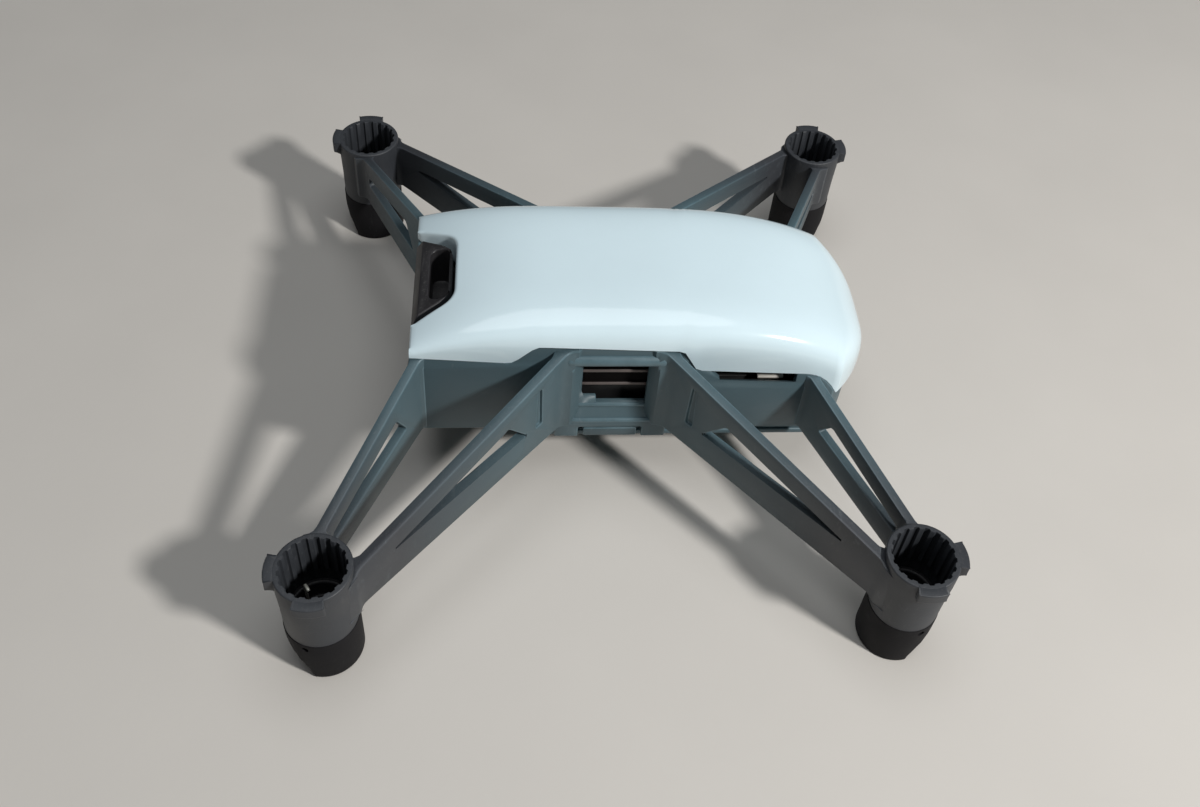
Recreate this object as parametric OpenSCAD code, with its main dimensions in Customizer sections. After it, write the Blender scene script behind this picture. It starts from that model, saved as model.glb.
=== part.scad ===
// Mini palm drone airframe, in millimetres.
// X points to the nose, Y to the drone's left, Z up. The feet stand on z = 0.

/* [Layout] */
// Distance between the front and rear motor tube axes
tube_span_x = 80; // [64:0.5:100]
// Distance between the left and right motor tube axes
tube_span_y = 85.6; // [68.4:0.2:105]
// Height of the motor tube rims
rim_z = 20; // [16:0.5:24]
// Height of the body's underside
belly_z = 8; // [5:0.25:9.75]

/* [Motor tubes] */
// Bore radius at the rib tips, which grip the motor can
motor_r = 4.25; // [3.4:0.05:5.1]
// Depth of the grooves between the ribs
rib_depth = 0.3; // [0.1:0.05:0.4]
// Number of ribs around the bore
rib_count = 18; // [10:1:24]
// Width of a groove
groove_w = 0.72; // [0.3:0.02:1]
// Wall left outside the grooves at the rim
tube_wall = 0.45; // [0.35:0.05:0.8]
// How much slimmer the tube is at its foot
tube_taper = 0.05; // [0:0.05:0.3]
// Length of the ribbed grip below the rim
grip_length = 7.5; // [5:0.5:9]
// Step outward below the grip
chamber_step = 0.3; // [0.1:0.05:0.4]
// Width of a clip tab
tab_w = 4.2; // [2:0.2:5.2]
// How far a clip tab stands out
tab_reach = 1.2; // [0.6:0.1:2]
// Height of a clip tab
tab_h = 2.6; // [1:0.2:4]

/* [Feet] */
// Height of the seam between tube and foot
foot_h = 8.5; // [6:0.5:10.5]
// How far the foot's top edge stands proud of the tube
foot_lip = 0.1; // [0:0.05:0.8]
// Reach of the flat sole past the tube axis, toward the cut side
sole_reach = 2; // [1:0.25:4]
// Height where the slanted cut leaves the foot's side
cut_top = 7.2; // [4:0.2:8.8]
// Turn of the slanted cut toward the drone's side
cut_turn = 12; // [0:1:45]
// Height of the plug that goes up into the tube
plug_h = 1.5; // [0.5:0.25:2]
// Wall of the plug
plug_wall = 0.8; // [0.5:0.1:1.2]
// Gap between plug and tube
plug_gap = 0.05; // [0.02:0.01:0.2]
// Depth of the hollow below the foot's top
foot_hollow = 1.5; // [0.5:0.25:3]
// Radius of the drain hole in the foot's side
drain_r = 0.5; // [0.3:0.05:0.8]
// Turn of the drain hole from the nose
drain_turn = 70; // [40:5:140]
// Height of the drain hole
drain_z = 7.4; // [2:0.1:7.8]

/* [Struts] */
// Blade thickness of the inner struts
mid_t = 1.5; // [0.8:0.1:2.4]
// Blade thickness of the end struts
end_t = 1.4; // [0.8:0.1:2.4]
// Root of the inner struts on the body side, from the middle
mid_root_x = 7.2; // [5.8:0.1:10]
// Root of the front struts on the body side, from the middle
fore_root_x = 27.8; // [22.2:0.2:33]
// Root of the rear struts on the body side, from the middle
aft_root_x = 28.8; // [23:0.2:31.4]
// Offset of the inner struts from the tube axis
mid_offset = 4.15; // [3.3:0.05:4.75]
// Offset of the end struts from the tube axis
end_offset = 1.5; // [0.5:0.05:2.5]
// Top of the inner struts at the body
mid_top_root = 28; // [22.4:0.2:33.6]
// Top of the inner struts at the tube
mid_top_tip = 18.2; // [14.6:0.2:21.8]
// Underside of the inner struts at the body
mid_low_root = 12.2; // [9.8:0.2:14.6]
// Underside of the inner struts at the tube
mid_low_tip = 10.3; // [8.3:0.1:12.3]
// Top of the front struts at the body
fore_top_root = 26.6; // [21.2:0.2:31.8]
// Top of the rear struts at the body
aft_top_root = 23; // [18.4:0.2:27.6]
// Top of the end struts at the tube
end_top_tip = 18.4; // [14.8:0.2:22]
// Underside of the end struts at the body
end_low_root = 11.6; // [9.4:0.2:13.8]
// Underside of the end struts at the tube
end_low_tip = 10.4; // [8.4:0.1:12.4]
// Solid web between body wall and slot on the inner struts
slot_start = 8; // [6.6:0.2:10]
// Slant of the slot's wide end on the inner struts
slot_slant = 3.8; // [2:0.2:5]
// Solid web between slot and tube on the inner struts
slot_stop = 5; // [2:0.5:10]
// Share of the inner web's height below the middle of the slot's wide end
slot_level = 0.56; // [0.45:0.01:0.67]
// Share of the inner web's height that the slot's wide end takes
slot_wide = 0.4; // [0.3:0.01:0.5]
// Share of the inner web's height below the slot's narrow end
slot_tip_level = 0.64; // [0.5:0.01:0.76]
// Share of the inner web's height that the slot's narrow end takes
slot_narrow = 0.04; // [0.03:0.01:0.1]
// Solid web between body wall and slot on the end struts
end_slot_start = 4.6; // [3.6:0.2:7]
// Slant of the slot's wide end on the end struts
end_slot_slant = 2.4; // [1:0.2:4]
// Solid web between slot and tube on the end struts
end_slot_stop = 1.8; // [1:0.1:6]
// Share of the end web's height below the middle of the slot's wide end
end_slot_level = 0.55; // [0.45:0.01:0.65]
// Share of the end web's height that the slot's wide end takes
end_slot_wide = 0.35; // [0.25:0.01:0.45]
// Share of the end web's height below the slot's narrow end
end_tip_level = 0.56; // [0.45:0.01:0.67]
// Share of the end web's height that the slot's narrow end takes
end_slot_narrow = 0.18; // [0.1:0.01:0.25]
// Place of the upright groove in the inner struts, from the root
relief_x = 5.4; // [3:0.2:6.4]
// Width of the upright groove
relief_w = 1.2; // [0.6:0.1:2]
// Depth of the upright groove
relief_d = 0.3; // [0.1:0.05:0.6]
// Lower end of the upright groove
relief_low = 16.8; // [15:0.2:20]
// Upper end of the upright groove
relief_high = 24.8; // [20:0.2:26]

/* [Body] */
// Width of the body
body_w = 28.8; // [23:0.2:34.6]
// Front of the body
body_front = 29.3; // [26.3:0.1:32.3]
// Rearmost point of the body
body_rear = -39; // [-42:0.25:-36]
// How far the rear face bows out
rear_bow = 6; // [4:0.25:7.25]
// Wall thickness
wall = 1.2; // [0.8:0.1:1.5]
// Bottom plate thickness
plate_t = 1; // [0.8:0.1:1.4]
// Inset of the bottom plate's edge
plate_inset = 1.1; // [0.4:0.1:1.3]
// Inset of the bottom plate under the front wall
fore_inset = 3; // [1.8:0.1:3.3]
// Where the narrow front of the belly starts
fore_belly_x = 9; // [7.2:0.2:11.4]
// Height of the groove above the bottom plate
groove_h = 2.2; // [1.7:0.1:3]
// Depth of the groove
groove_d = 1.4; // [1.1:0.1:1.8]
// Wall thickness behind the groove
band_wall = 0.8; // [0.6:0.1:1]
// Height where the front wall starts to lean in
fore_shoulder_z = 24.8; // [19.8:0.2:29.8]
// Height where the rear wall starts to lean in
aft_shoulder_z = 20.3; // [16.1:0.2:24.5]
// How far the wall leans in up to the cover
shoulder_in = 0.6; // [0.2:0.1:0.8]
// Where the front wall ends and the rear wall starts
shoulder_x = -10.4; // [-13.4:0.1:-7.4]
// Front end of the side slit
slit_front = -13.5; // [-17:0.5:-13]
// Rear end of the side slit
slit_rear = -26.9; // [-28:0.1:-20]
// Height of the side slit's lower edge at its front
slit_low = 22.3; // [20:0.1:23]
// Fall of the side slit's lower edge toward the rear
slit_fall = 0.5; // [0:0.1:1.6]
// Slant of the side slit's front end
slit_slant = 1.9; // [0:0.1:3]

/* [Side pockets] */
// Height of the pocket's top
pocket_top = 25.6; // [20.4:0.1:30.8]
// Height of the ledge's outer edge
ledge_low = 12.6; // [10:0.1:15.2]
// Height of the ledge's inner edge
ledge_high = 14.6; // [11.6:0.1:17.6]
// Width of the ledge
ledge_w = 1.2; // [0.6:0.1:1.6]
// Depth of the pocket behind the body side
pocket_d = 1.4; // [1.1:0.1:2]
// Rise of the pocket's sloping faces
pocket_slope = 0.4; // [0.2:0.1:0.8]
// Thickness of the pocket's back
pocket_wall = 0.7; // [0.5:0.1:0.9]
// Front end of the vent window
vent_front = 4.6; // [3:0.2:5.6]
// Rear end of the vent window
vent_rear = -5; // [-5.6:0.2:-3]
// Lower edge of the vent window
vent_low = 15.6; // [12.4:0.2:18.8]
// Upper edge of the vent window
vent_high = 24.2; // [19.2:0.2:29.2]
// Length of the raised block at the front of the vent's sill
sill_l = 2.2; // [1:0.1:4]
// Height of the raised block
sill_h = 1.2; // [0.5:0.1:2]
// Gap between the button bar's ends and the rail beside it
rail_gap = 0.8; // [0.3:0.1:1.5]
// Length of the rail on each side of the button bar
rail_l = 3.6; // [2:0.2:5]

/* [Cover] */
// Cover thickness
cover_t = 1.1; // [0.8:0.1:1.4]
// Width of the cover
cover_w = 28.4; // [22.6:0.2:34.2]
// Front of the cover's prongs
cover_front = 29.3; // [26.3:0.1:32.3]
// Rearmost point of the cover
cover_rear = -39.6; // [-42.6:0.2:-36.6]
// How far the cover's rear bows out
cover_bow = 6.1; // [4:0.1:7.4]
// Height of the crown
crown_z = 33.1; // [26.4:0.1:39.8]
// Place of the crown's highest point
crown_x = 3; // [0:0.5:6]
// Drop of the crown at the prongs
nose_drop = 4.3; // [3:0.1:5.2]
// Exponent of the cross section, which squares its shoulders
section_power = 5; // [2.5:0.1:7]
// Exponent of the cover's plan at the rear, lower for squarer corners
bow_power = 0.42; // [0.3:0.02:0.6]
// Gap between the cover's edge and the body
seat_gap = 0.1; // [0.05:0.01:0.3]
// Edge height at the prongs
edge_front_z = 27.1; // [21.6:0.1:32.6]
// Edge height before the front step
edge_fore_z = 26; // [20.8:0.1:31.2]
// Edge height over the pocket's rear end
edge_mid_z = 28.4; // [22.7:0.1:34.1]
// Rise of the edge over the pocket toward the front
edge_mid_rise = 0.8; // [0.2:0.1:1.4]
// Edge height behind the rear step
edge_aft_z = 24.3; // [19.4:0.1:29.2]
// Edge height where the tail curve starts
edge_tail_z = 23.6; // [18.8:0.1:28.4]
// Height of the tail's lip
tail_z = 19; // [15.2:0.1:22.8]
// Front end of the front step
fore_step_x = 15.6; // [12.6:0.2:18.6]
// Length of the front step
fore_step_l = 4.6; // [3:0.2:5.6]
// Front end of the rear step
aft_step_x = -9.2; // [-12.2:0.1:-6.2]
// Length of the rear step
aft_step_l = 3; // [2:0.2:3.6]
// Front end of the tail curve
tail_x = -26.6; // [-29.6:0.2:-23.6]
// Length of the tail curve
tail_l = 7; // [5:0.2:8.4]
// Place of the nose notch's base
notch_x = 23.2; // [20.2:0.1:26.2]
// Width of the notch at its base
notch_base_w = 12.6; // [10:0.2:15.2]
// Width of the notch at the prongs
notch_front_w = 19.2; // [15.2:0.2:23.2]
// Rounding of the notch's base corners
notch_round = 2.2; // [1:0.1:3]
// How far the notch's side walls lean in over their height
notch_lean = 1; // [0.2:0.1:1.5]
// How far the notch's base leans in over its height
base_lean = 0.2; // [0:0.1:0.6]
// Place of the front snap tabs
snap_fore_x = 19; // [16:0.5:22]
// Place of the rear snap tabs
snap_aft_x = -29; // [-32:0.5:-26]
// Width of a snap tab
snap_w = 3; // [2:0.2:5]
// Thickness of a snap tab
snap_t = 0.8; // [0.5:0.1:1]
// How far a snap tab hangs below the cover's edge
snap_drop = 2.2; // [1:0.1:3]
// How far a snap tab is sunk into the cover's side
snap_sunk = 0.2; // [0.1:0.05:0.5]

/* [Nose] */
// Front face of the nose housing
nose_front = 29.4; // [26.4:0.1:32.4]
// Length of the nose housing
nose_l = 7; // [5:0.1:9]
// Underside of the nose housing
nose_low = 14.8; // [11.8:0.1:17.8]
// Top of the nose housing
nose_top = 30; // [24:0.1:36]
// Top of the nose's upright front face
nose_brow = 26.9; // [20.3:0.1:30.5]
// Gap between the nose housing and the cover's notch
nose_gap = 0.3; // [0.1:0.05:0.6]
// Size of the nose's chin bevel
chin = 1.9; // [1:0.1:2.3]
// Rim of the nose housing behind the bay
bay_rim = 0.45; // [0.3:0.05:1]
// Front to back size of the bay in the nose
bay_l = 2.9; // [2:0.1:3.5]
// Width of the bay in the nose
bay_w = 10; // [6:0.2:12]
// Corner radius of the bay
bay_r = 1.2; // [0.6:0.1:1.5]
// Floor of the bay
bay_floor = 22.8; // [18.2:0.1:27.4]
// Radius of the lens opening
lens_bore_r = 2.9; // [2:0.1:3.5]
// Height of the lens axis
lens_z = 19.2; // [15.3:0.1:23.1]
// Gap between lens barrel and its opening
lens_gap = 0.1; // [0.05:0.01:0.2]
// How far the lens sits behind the nose's face
lens_back = 0.5; // [0.2:0.1:1]
// Thickness of the front glass
glass_t = 0.5; // [0.3:0.1:0.8]
// Rim of the barrel around the glass
barrel_rim = 0.5; // [0.3:0.1:0.8]
// Thickness of the camera shelf
shelf_t = 0.8; // [0.6:0.1:1]
// Length of the camera shelf behind the nose housing
shelf_l = 6.4; // [5.1:0.1:7.7]
// Length of the camera block
camera_l = 5.2; // [4:0.1:6.3]
// Width of the camera block
camera_w = 7.6; // [6:0.2:9.2]
// Height of the camera block
camera_h = 7; // [5.6:0.2:8.4]
// Radius of the status lamp
lamp_r = 0.7; // [0.4:0.05:0.9]
// Distance of the status lamp from the middle
lamp_y = 5.2; // [4.1:0.1:6.3]
// Depth of the status lamp
lamp_depth = 1.6; // [1:0.1:2]

/* [Battery] */
// Length of the battery case
battery_l = 41; // [32.5:0.5:49.5]
// Width of the battery
battery_w = 20.4; // [16.2:0.2:24.6]
// Height of the battery
battery_h = 8.75; // [7:0.25:10.5]
// Front face of the battery
battery_front = 7; // [4:0.25:10]
// Gap around the battery
battery_gap = 0.15; // [0.1:0.05:0.3]
// Wall of the battery tray
tray_wall = 0.6; // [0.45:0.05:0.75]
// Room ahead of the battery for its contacts
contact_room = 0.8; // [0.6:0.1:1]
// Thickness of the tray's front wall
tray_front_t = 0.8; // [0.6:0.1:1]
// Thickness of the battery's contact pads
pad_t = 0.3; // [0.2:0.05:0.4]
// Height of a contact pad
pad_h = 3; // [2:0.2:5]
// Width of a contact pad
pad_w = 1.6; // [1:0.1:2.2]
// Spacing of the contact pads
pad_pitch = 3.2; // [2.5:0.1:4.5]
// Depth of the finger groove in the battery's tail
finger_d = 1; // [0.4:0.1:1.5]
// Width of the finger groove
finger_w = 12; // [8:0.5:16]
// Height of the finger groove
finger_h = 3; // [2:0.2:4]

/* [Power button] */
// Length of the button bar
button_l = 8.1; // [5:0.1:9.8]
// Gap above and below the button bar
button_gap = 0.2; // [0.1:0.05:0.3]
// Thickness of the button bar
button_t = 0.9; // [0.6:0.1:1.1]
// Travel of the button
button_travel = 0.25; // [0.1:0.05:0.3]
// Length of the button's stem
stem_l = 5.6; // [3:0.2:6.8]
// Height of the button's stem
stem_h = 1.1; // [0.8:0.1:1.4]
// Gap between stem and slot
stem_gap = 0.15; // [0.1:0.05:0.25]
// Thickness of the button's inner flange
flange_t = 0.4; // [0.3:0.05:0.5]
// Gap between flange and band wall
flange_gap = 0.1; // [0.05:0.05:0.15]
// Thickness of the switch behind the button
switch_t = 0.4; // [0.3:0.05:0.5]
// Length of the switch
switch_l = 4.4; // [3:0.2:6]
// Height of the switch
switch_h = 1.8; // [1.2:0.1:2.2]

/* [Electronics] */
// Thickness of the main board
board_t = 0.8; // [0.6:0.1:1]
// Front end of the main board
board_front = 15.4; // [12.4:0.2:18.4]
// Rear end of the main board
board_rear = -27; // [-30:0.5:-24]
// Width of the main board
board_w = 22; // [17.6:0.2:26.4]
// Height of the posts that carry the board
post_h = 0.95; // [0.6:0.05:1.2]
// Radius of the posts
post_r = 1.4; // [1.1:0.1:1.7]
// Place of the front posts
post_fore_x = 6; // [3:0.2:9]
// Place of the rear posts
post_aft_x = -24; // [-27:0.2:-21]
// Distance of the posts from the middle
post_y = 8.6; // [6.8:0.2:10.4]
// Length of the shield can
shield_l = 16; // [12:0.5:19.5]
// Width of the shield can
shield_w = 12; // [9.5:0.5:14.5]
// Height of the shield can
shield_h = 1.6; // [1.2:0.1:2]
// Place of the shield can
shield_x = -8; // [-11:0.5:-5]
// Length of the heat sink's fins
fin_l = 11; // [8:0.5:12]
// Thickness of a fin
fin_t = 0.6; // [0.4:0.05:0.8]
// Spacing of the fins
fin_pitch = 2.9; // [2.3:0.1:3.5]
// Number of fins
fin_count = 2; // [1:1:2]
// Height of the lowest fin's top
fin_low = 18.9; // [17.5:0.1:20]
// Thickness of the heat sink's upright plate
sink_t = 0.4; // [0.3:0.05:0.5]
// Gap between the upright plate and the board's edge
sink_gap = 0.2; // [0.1:0.05:0.3]
// Size of the heat sink's core
core_w = 6; // [4:0.5:8]
// Gap between the fins and the pocket's back
fin_gap = 0.35; // [0.25:0.05:0.6]
// Width of the charging socket
usb_w = 7.4; // [5.9:0.1:8.9]
// Depth of the charging socket
usb_d = 5; // [4:0.1:6]
// Height of the charging socket
usb_h = 2.6; // [2:0.1:3.2]
// Wall of the charging socket
usb_wall = 0.3; // [0.2:0.05:0.4]
// Length of an antenna strip
antenna_l = 4; // [3:0.2:8]
// Place of the antenna strips
antenna_x = -23.6; // [-25:0.2:-16]
// Width of an antenna strip
antenna_w = 1.3; // [0.6:0.1:1.6]
// Thickness of an antenna strip
antenna_t = 0.5; // [0.3:0.1:0.8]
// Length of a motor socket
socket_l = 4; // [3:0.2:5]
// Width of a motor socket
socket_w = 3; // [2:0.2:4]
// Height of a motor socket
socket_h = 2; // [1.5:0.1:2.4]
// Place of the front motor sockets
socket_fore_x = 12; // [9:0.2:15]
// Place of the rear motor sockets
socket_aft_x = -19.6; // [-22.6:0.2:-16.6]
// Distance of the motor sockets from the middle
socket_y = 6.5; // [5:0.2:7.9]
// Radius of a motor lead
lead_r = 0.22; // [0.14:0.02:0.4]
// Bend radius of a motor lead
lead_bend = 0.9; // [0.6:0.1:1.4]
// Straight rise of a motor lead
lead_rise = 3.4; // [1:0.1:5]
// Angle through which a motor lead bends over
lead_curl = 120; // [60:5:150]
// Turn of the first motor lead, and of the second from it
lead_turn = -30; // [-60:5:0]
// Place of the motor leads ahead of the tube axis
lead_x = 1.7; // [0:0.1:1.8]
// Shift of the lead ends to the side of the tube
lead_y = -0.8; // [-1.2:0.1:1.2]
// Share by which the second motor lead stands higher
lead_stagger = 0.2; // [0:0.05:0.4]

/* [Belly sensors] */
// Place of the belly sensors
sensor_x = 15; // [12:0.5:18]
// Distance of each belly sensor from the middle
sensor_y = 4.2; // [3.3:0.1:5.1]
// Size of the downward camera's block
flow_w = 5.6; // [4:0.2:6.8]
// Height of the downward camera's block
flow_h = 3.4; // [2:0.2:4.2]
// Radius of the downward lens
flow_r = 1.7; // [1:0.1:2.1]
// Width of the range sensor
range_w = 4.4; // [3:0.2:5.4]
// Height of the range sensor
range_h = 1; // [0.8:0.1:1.4]
// Radius of the range sensor's openings
range_r = 0.7; // [0.4:0.1:0.9]
// Length of the belly window
window_l = 6.6; // [5:0.2:8]
// Width of the belly window
window_w = 15; // [12:0.2:18]
// Thickness of the belly window
window_t = 0.5; // [0.3:0.05:0.6]

/* [Screws] */
// Head radius of the belly screws
head_r = 1.2; // [0.9:0.05:1.45]
// Head height
head_h = 0.6; // [0.4:0.05:0.75]
// Shank radius
shank_r = 0.55; // [0.4:0.05:0.7]
// Gap between shank and hole
shank_gap = 0.05; // [0.02:0.01:0.1]
// Length of the belly screws below the head
belly_screw_l = 3.4; // [2:0.2:4.2]
// Length of the board screws below the head
board_screw_l = 1.4; // [1:0.1:1.7]
// Cross recess width in the screw heads
recess_w = 0.35; // [0.2:0.05:0.45]
// Radius of the screw bosses
boss_r = 1.4; // [1.1:0.05:1.7]
// Height of the screw bosses
boss_h = 4; // [3:0.2:4.8]
// Distance of the bosses from the middle
boss_y = 9.6; // [8.9:0.1:10]
// Place of the rear bosses
boss_aft_x = 10.8; // [7.8:0.1:13.8]
// Place of the front bosses
boss_fore_x = 23; // [20:0.2:26]

/* [Hidden] */
$fn = 48;
// Overlap that keeps joined or cut solids clean
eps = 0.01;
// Gap that keeps struts and tubes from sharing a sliver
weld_gap = 0.02;
// Reach of cutting blocks past the object
far = 60;

tube_x = tube_span_x / 2;
tube_y = tube_span_y / 2;
chamber_r = motor_r + chamber_step;
tube_r = motor_r + rib_depth + tube_wall;
tube_low_r = tube_r - tube_taper;
foot_r = tube_low_r + foot_lip;
plug_r = chamber_r - plug_gap;
grip_low = rim_z - grip_length;

half_w = body_w / 2;
plate_top = belly_z + plate_t;
groove_top = plate_top + groove_h;
band_out = half_w - groove_d;
band_in = band_out - band_wall;
band_inset = groove_d + band_wall;
pocket_y = half_w - pocket_d;

half_cover = cover_w / 2;
snap_in = half_w - wall - seat_gap - snap_t;
nose_rear = nose_front - nose_l;
nose_side = nose_gap + notch_lean;
nose_base = notch_x + base_lean + nose_gap;
nose_step = edge_fore_z - seat_gap;
notch_slope = (notch_front_w - notch_base_w) / 2 / (cover_front - notch_x);
shelf_top = nose_low + shelf_t;
lens_r = lens_bore_r - lens_gap;

tray_floor = plate_top + tray_wall;
battery_low = tray_floor + battery_gap;
battery_top = battery_low + battery_h;
tray_in = battery_w / 2 + battery_gap;
tray_out = tray_in + tray_wall;
tray_top = battery_top + battery_gap + tray_wall;
tray_front = battery_front + contact_room + tray_front_t;
battery_rear = battery_front - battery_l;
board_low = tray_top + post_h;
board_top = board_low + board_t;
shield_top = board_top + shield_h;

button_mid_z = plate_top + groove_h / 2;
button_h = groove_h - 2 * button_gap;
stem_in = band_in - flange_gap;
sensor_sides = [-1, 1];

strut_color = [0.31, 0.37, 0.40];
foot_color = [0.19, 0.19, 0.20];
dark_color = [0.08, 0.08, 0.09];
metal_color = [0.72, 0.72, 0.72];

// Ease from 0 to 1 with level ends.
function ease(t) = t * t * (3 - 2 * t);
function clamp01(t) = min(1, max(0, t));
function signed_power(v, p) = sign(v) * pow(abs(v), p);

// The cover's lower edge, from the prongs to the tail, as points of x and z.
edge_steps = 8;
cover_edge = concat(
  [[far, edge_front_z], [cover_front, edge_front_z]],
  [for (i = [0 : edge_steps]) let (t = i / edge_steps)
    [fore_step_x - fore_step_l * t, edge_fore_z + (edge_mid_z + edge_mid_rise - edge_fore_z) * ease(t)]],
  [for (i = [0 : edge_steps]) let (t = i / edge_steps)
    [aft_step_x - aft_step_l * t, edge_mid_z + (edge_aft_z - edge_mid_z) * ease(t)]],
  [for (i = [0 : edge_steps]) let (t = i / edge_steps)
    [tail_x - tail_l * t, edge_tail_z + (tail_z - edge_tail_z) * pow(t, 3)]],
  [[-far, tail_z]]
);

// Height of the cover's lower edge at x.
function edge_at(x) = lookup(x, cover_edge);

// Crown height of the cover along its middle.
crown_power = 3;
function crown_at(x) = x > crown_x
  ? crown_z - nose_drop * pow((x - crown_x) / (cover_front - crown_x), crown_power)
  : tail_z + (crown_z - tail_z)
    * sqrt(max(0, 1 - pow((crown_x - x) / (crown_x - cover_rear), crown_power)));

// Half width of the cover at x, which narrows over the bowed rear.
function cover_half_at(x) = half_cover * pow(clamp01((x - cover_rear) / cover_bow), bow_power);

// Height where the cover's cross section starts to round over.
spring_z = 24;
spring_drop = 6.5;
spring_rise = 2.6;
function spring_at(x) = spring_z
  - spring_drop * ease(clamp01((slit_front - x) / (slit_front - cover_rear)))
  + spring_rise * ease(clamp01((x - crown_x) / (cover_front - crown_x)));

// Cross section of the cover's outside at x, thinned by inset.
section_steps = 28;
function cover_section(x, inset) = let (
    w = max(eps, cover_half_at(x) - inset),
    low = spring_at(x),
    rise = max(eps, crown_at(x) - inset - low)
  ) concat(
    [[x, w, 0]],
    [for (i = [0 : section_steps]) let (a = 180 * i / section_steps)
      [
        x,
        w * signed_power(cos(a), 2 / section_power),
        low + rise * pow(abs(sin(a)), 2 / section_power)
      ]],
    [[x, -w, 0]]
  );

// Solid through a row of sections that have as many points each.
module loft(sections) {
  n = len(sections[0]);
  last = len(sections) - 1;
  polyhedron(
    points = [for (s = sections) each s],
    faces = concat(
      [[for (j = [0 : n - 1]) j]],
      [for (i = [0 : last - 1]) for (j = [0 : n - 1]) let (k = (j + 1) % n)
        each [[i * n + j, (i + 1) * n + j, i * n + k], [i * n + k, (i + 1) * n + j, (i + 1) * n + k]]],
      [[for (j = [n - 1 : -1 : 0]) last * n + j]]
    )
  );
}

// Stations along the cover, closer together toward the rear, where the first stands just before the tip.
cover_stations = 30;
station_power = 1.6;
tip_blunt = 0.05;
module cover_form(inset) {
  rear = cover_rear + inset + tip_blunt;
  front = cover_front - inset;
  loft([for (i = [0 : cover_stations]) let (t = i / cover_stations)
    cover_section(rear + (front - rear) * pow(t, station_power), inset)]);
}

// Plan of the body, thinned by inset.
rear_steps = 24;
module plan(inset) {
  w = half_w - inset;
  polygon(concat(
    [[body_front - inset, -w], [body_front - inset, w]],
    [for (i = [0 : rear_steps]) let (y = w * (1 - 2 * i / rear_steps))
      [body_rear + inset + rear_bow * pow(y / half_w, 2), y]]
  ));
}

// Upright slab of the plan between two heights.
module slab(inset, low, high) {
  translate([0, 0, low]) linear_extrude(high - low) plan(inset);
}

// Outline in x and z, drawn across the whole width.
module across(points) {
  translate([0, far, 0]) rotate([90, 0, 0]) linear_extrude(2 * far) polygon(points);
}

// Outline in y and z, drawn along x from one place to another.
module along(points, x0, x1) {
  translate([x0, 0, 0]) rotate([90, 0, 90]) linear_extrude(x1 - x0) polygon(points);
}

// Block from one corner to the other.
module block(low, high) {
  translate(low) cube(high - low);
}

module both_sides() {
  children();
  mirror([0, 1, 0]) children();
}

// Everything under the cover's edge, lowered by drop.
module under_edge(drop) {
  across(concat(
    [[-far, -far], [far, -far]],
    [for (p = cover_edge) [p[0], p[1] - drop]]
  ));
}

// Half of the notch's plan from its middle, around the corner at p, to its front end.
corner_steps = 6;
function round_corner(p, front) = let (
    along = (front - p) / norm(front - p),
    from = p - [0, notch_round],
    to = p + along * notch_round
  ) concat(
    [[p[0], 0]],
    [for (i = [0 : corner_steps]) let (t = i / corner_steps)
      (1 - t) * (1 - t) * from + 2 * t * (1 - t) * p + t * t * to],
    [front]
  );

// Plan of the nose housing: the cover's notch, narrowed by its lean and a gap.
module nose_plan() {
  base = notch_base_w / 2 - nose_side;
  front = notch_front_w / 2 - nose_side;
  polygon([
    [nose_rear, -base], [nose_base, -base], [nose_front, -front],
    [nose_front, front], [nose_base, base], [nose_rear, base]
  ]);
}

// The same between the notch's walls, with the notch's round corners.
module nose_top_plan() {
  half = round_corner(
    [nose_base, notch_base_w / 2 - nose_side],
    [nose_front, notch_front_w / 2 - nose_side]
  );
  polygon(concat(
    [for (i = [len(half) - 1 : -1 : 0]) half[i]],
    [for (p = half) [p[0], -p[1]]]
  ));
}

module boss_places() {
  for (x = [boss_aft_x, boss_fore_x], side = [-1, 1]) translate([x, side * boss_y, 0]) children();
}

module post_places() {
  for (x = [post_aft_x, post_fore_x], side = [-1, 1]) translate([x, side * post_y, 0]) children();
}

// Pan head screw with a cross recess, head under side up at z = 0.
module screw(length) {
  difference() {
    union() {
      translate([0, 0, -head_h]) cylinder(r = head_r, h = head_h);
      cylinder(r = shank_r, h = length);
    }
    for (turn = [0, 90]) rotate(turn)
      translate([-head_r / 2, -recess_w / 2, -head_h - eps]) cube([head_r, recess_w, head_h / 2]);
  }
}

// Wall that leans in above the shoulder.
module leaning_wall(shoulder, x0, x1) {
  top = crown_z;
  lean = half_w - shoulder_in * (top - shoulder) / (edge_front_z - shoulder);
  along([
    [-half_w, 0], [half_w, 0], [half_w, shoulder], [lean, top], [-lean, top], [-half_w, shoulder]
  ], x0, x1);
}

// Plan of the room between the inner struts' facing sides, reaching out from depth behind the body side.
module between_struts(depth) {
  lean = 1 / tan(strut_turn(mid_root_x, mid_offset, 1));
  back = mid_root_x - depth * lean;
  front = mid_root_x + wall * lean;
  linear_extrude(crown_z) polygon([
    [-back, half_w - depth], [back, half_w - depth], [front, half_w + wall], [-front, half_w + wall]
  ]);
}

module pocket_cut() {
  intersection() {
    between_struts(pocket_d);
    along([
      [half_w + wall, pocket_top],
      [pocket_y, pocket_top - pocket_slope],
      [pocket_y, ledge_high + pocket_slope],
      [half_w - ledge_w, ledge_high],
      [half_w, ledge_low],
      [half_w + wall, ledge_low]
    ], -far, far);
  }
}

// Strips beside the narrow front of the belly, from inset outward, starting back behind its step.
module fore_strips(inset, back, high) {
  both_sides() block([fore_belly_x - back, half_w - inset, 0], [far, far, high]);
}

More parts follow.
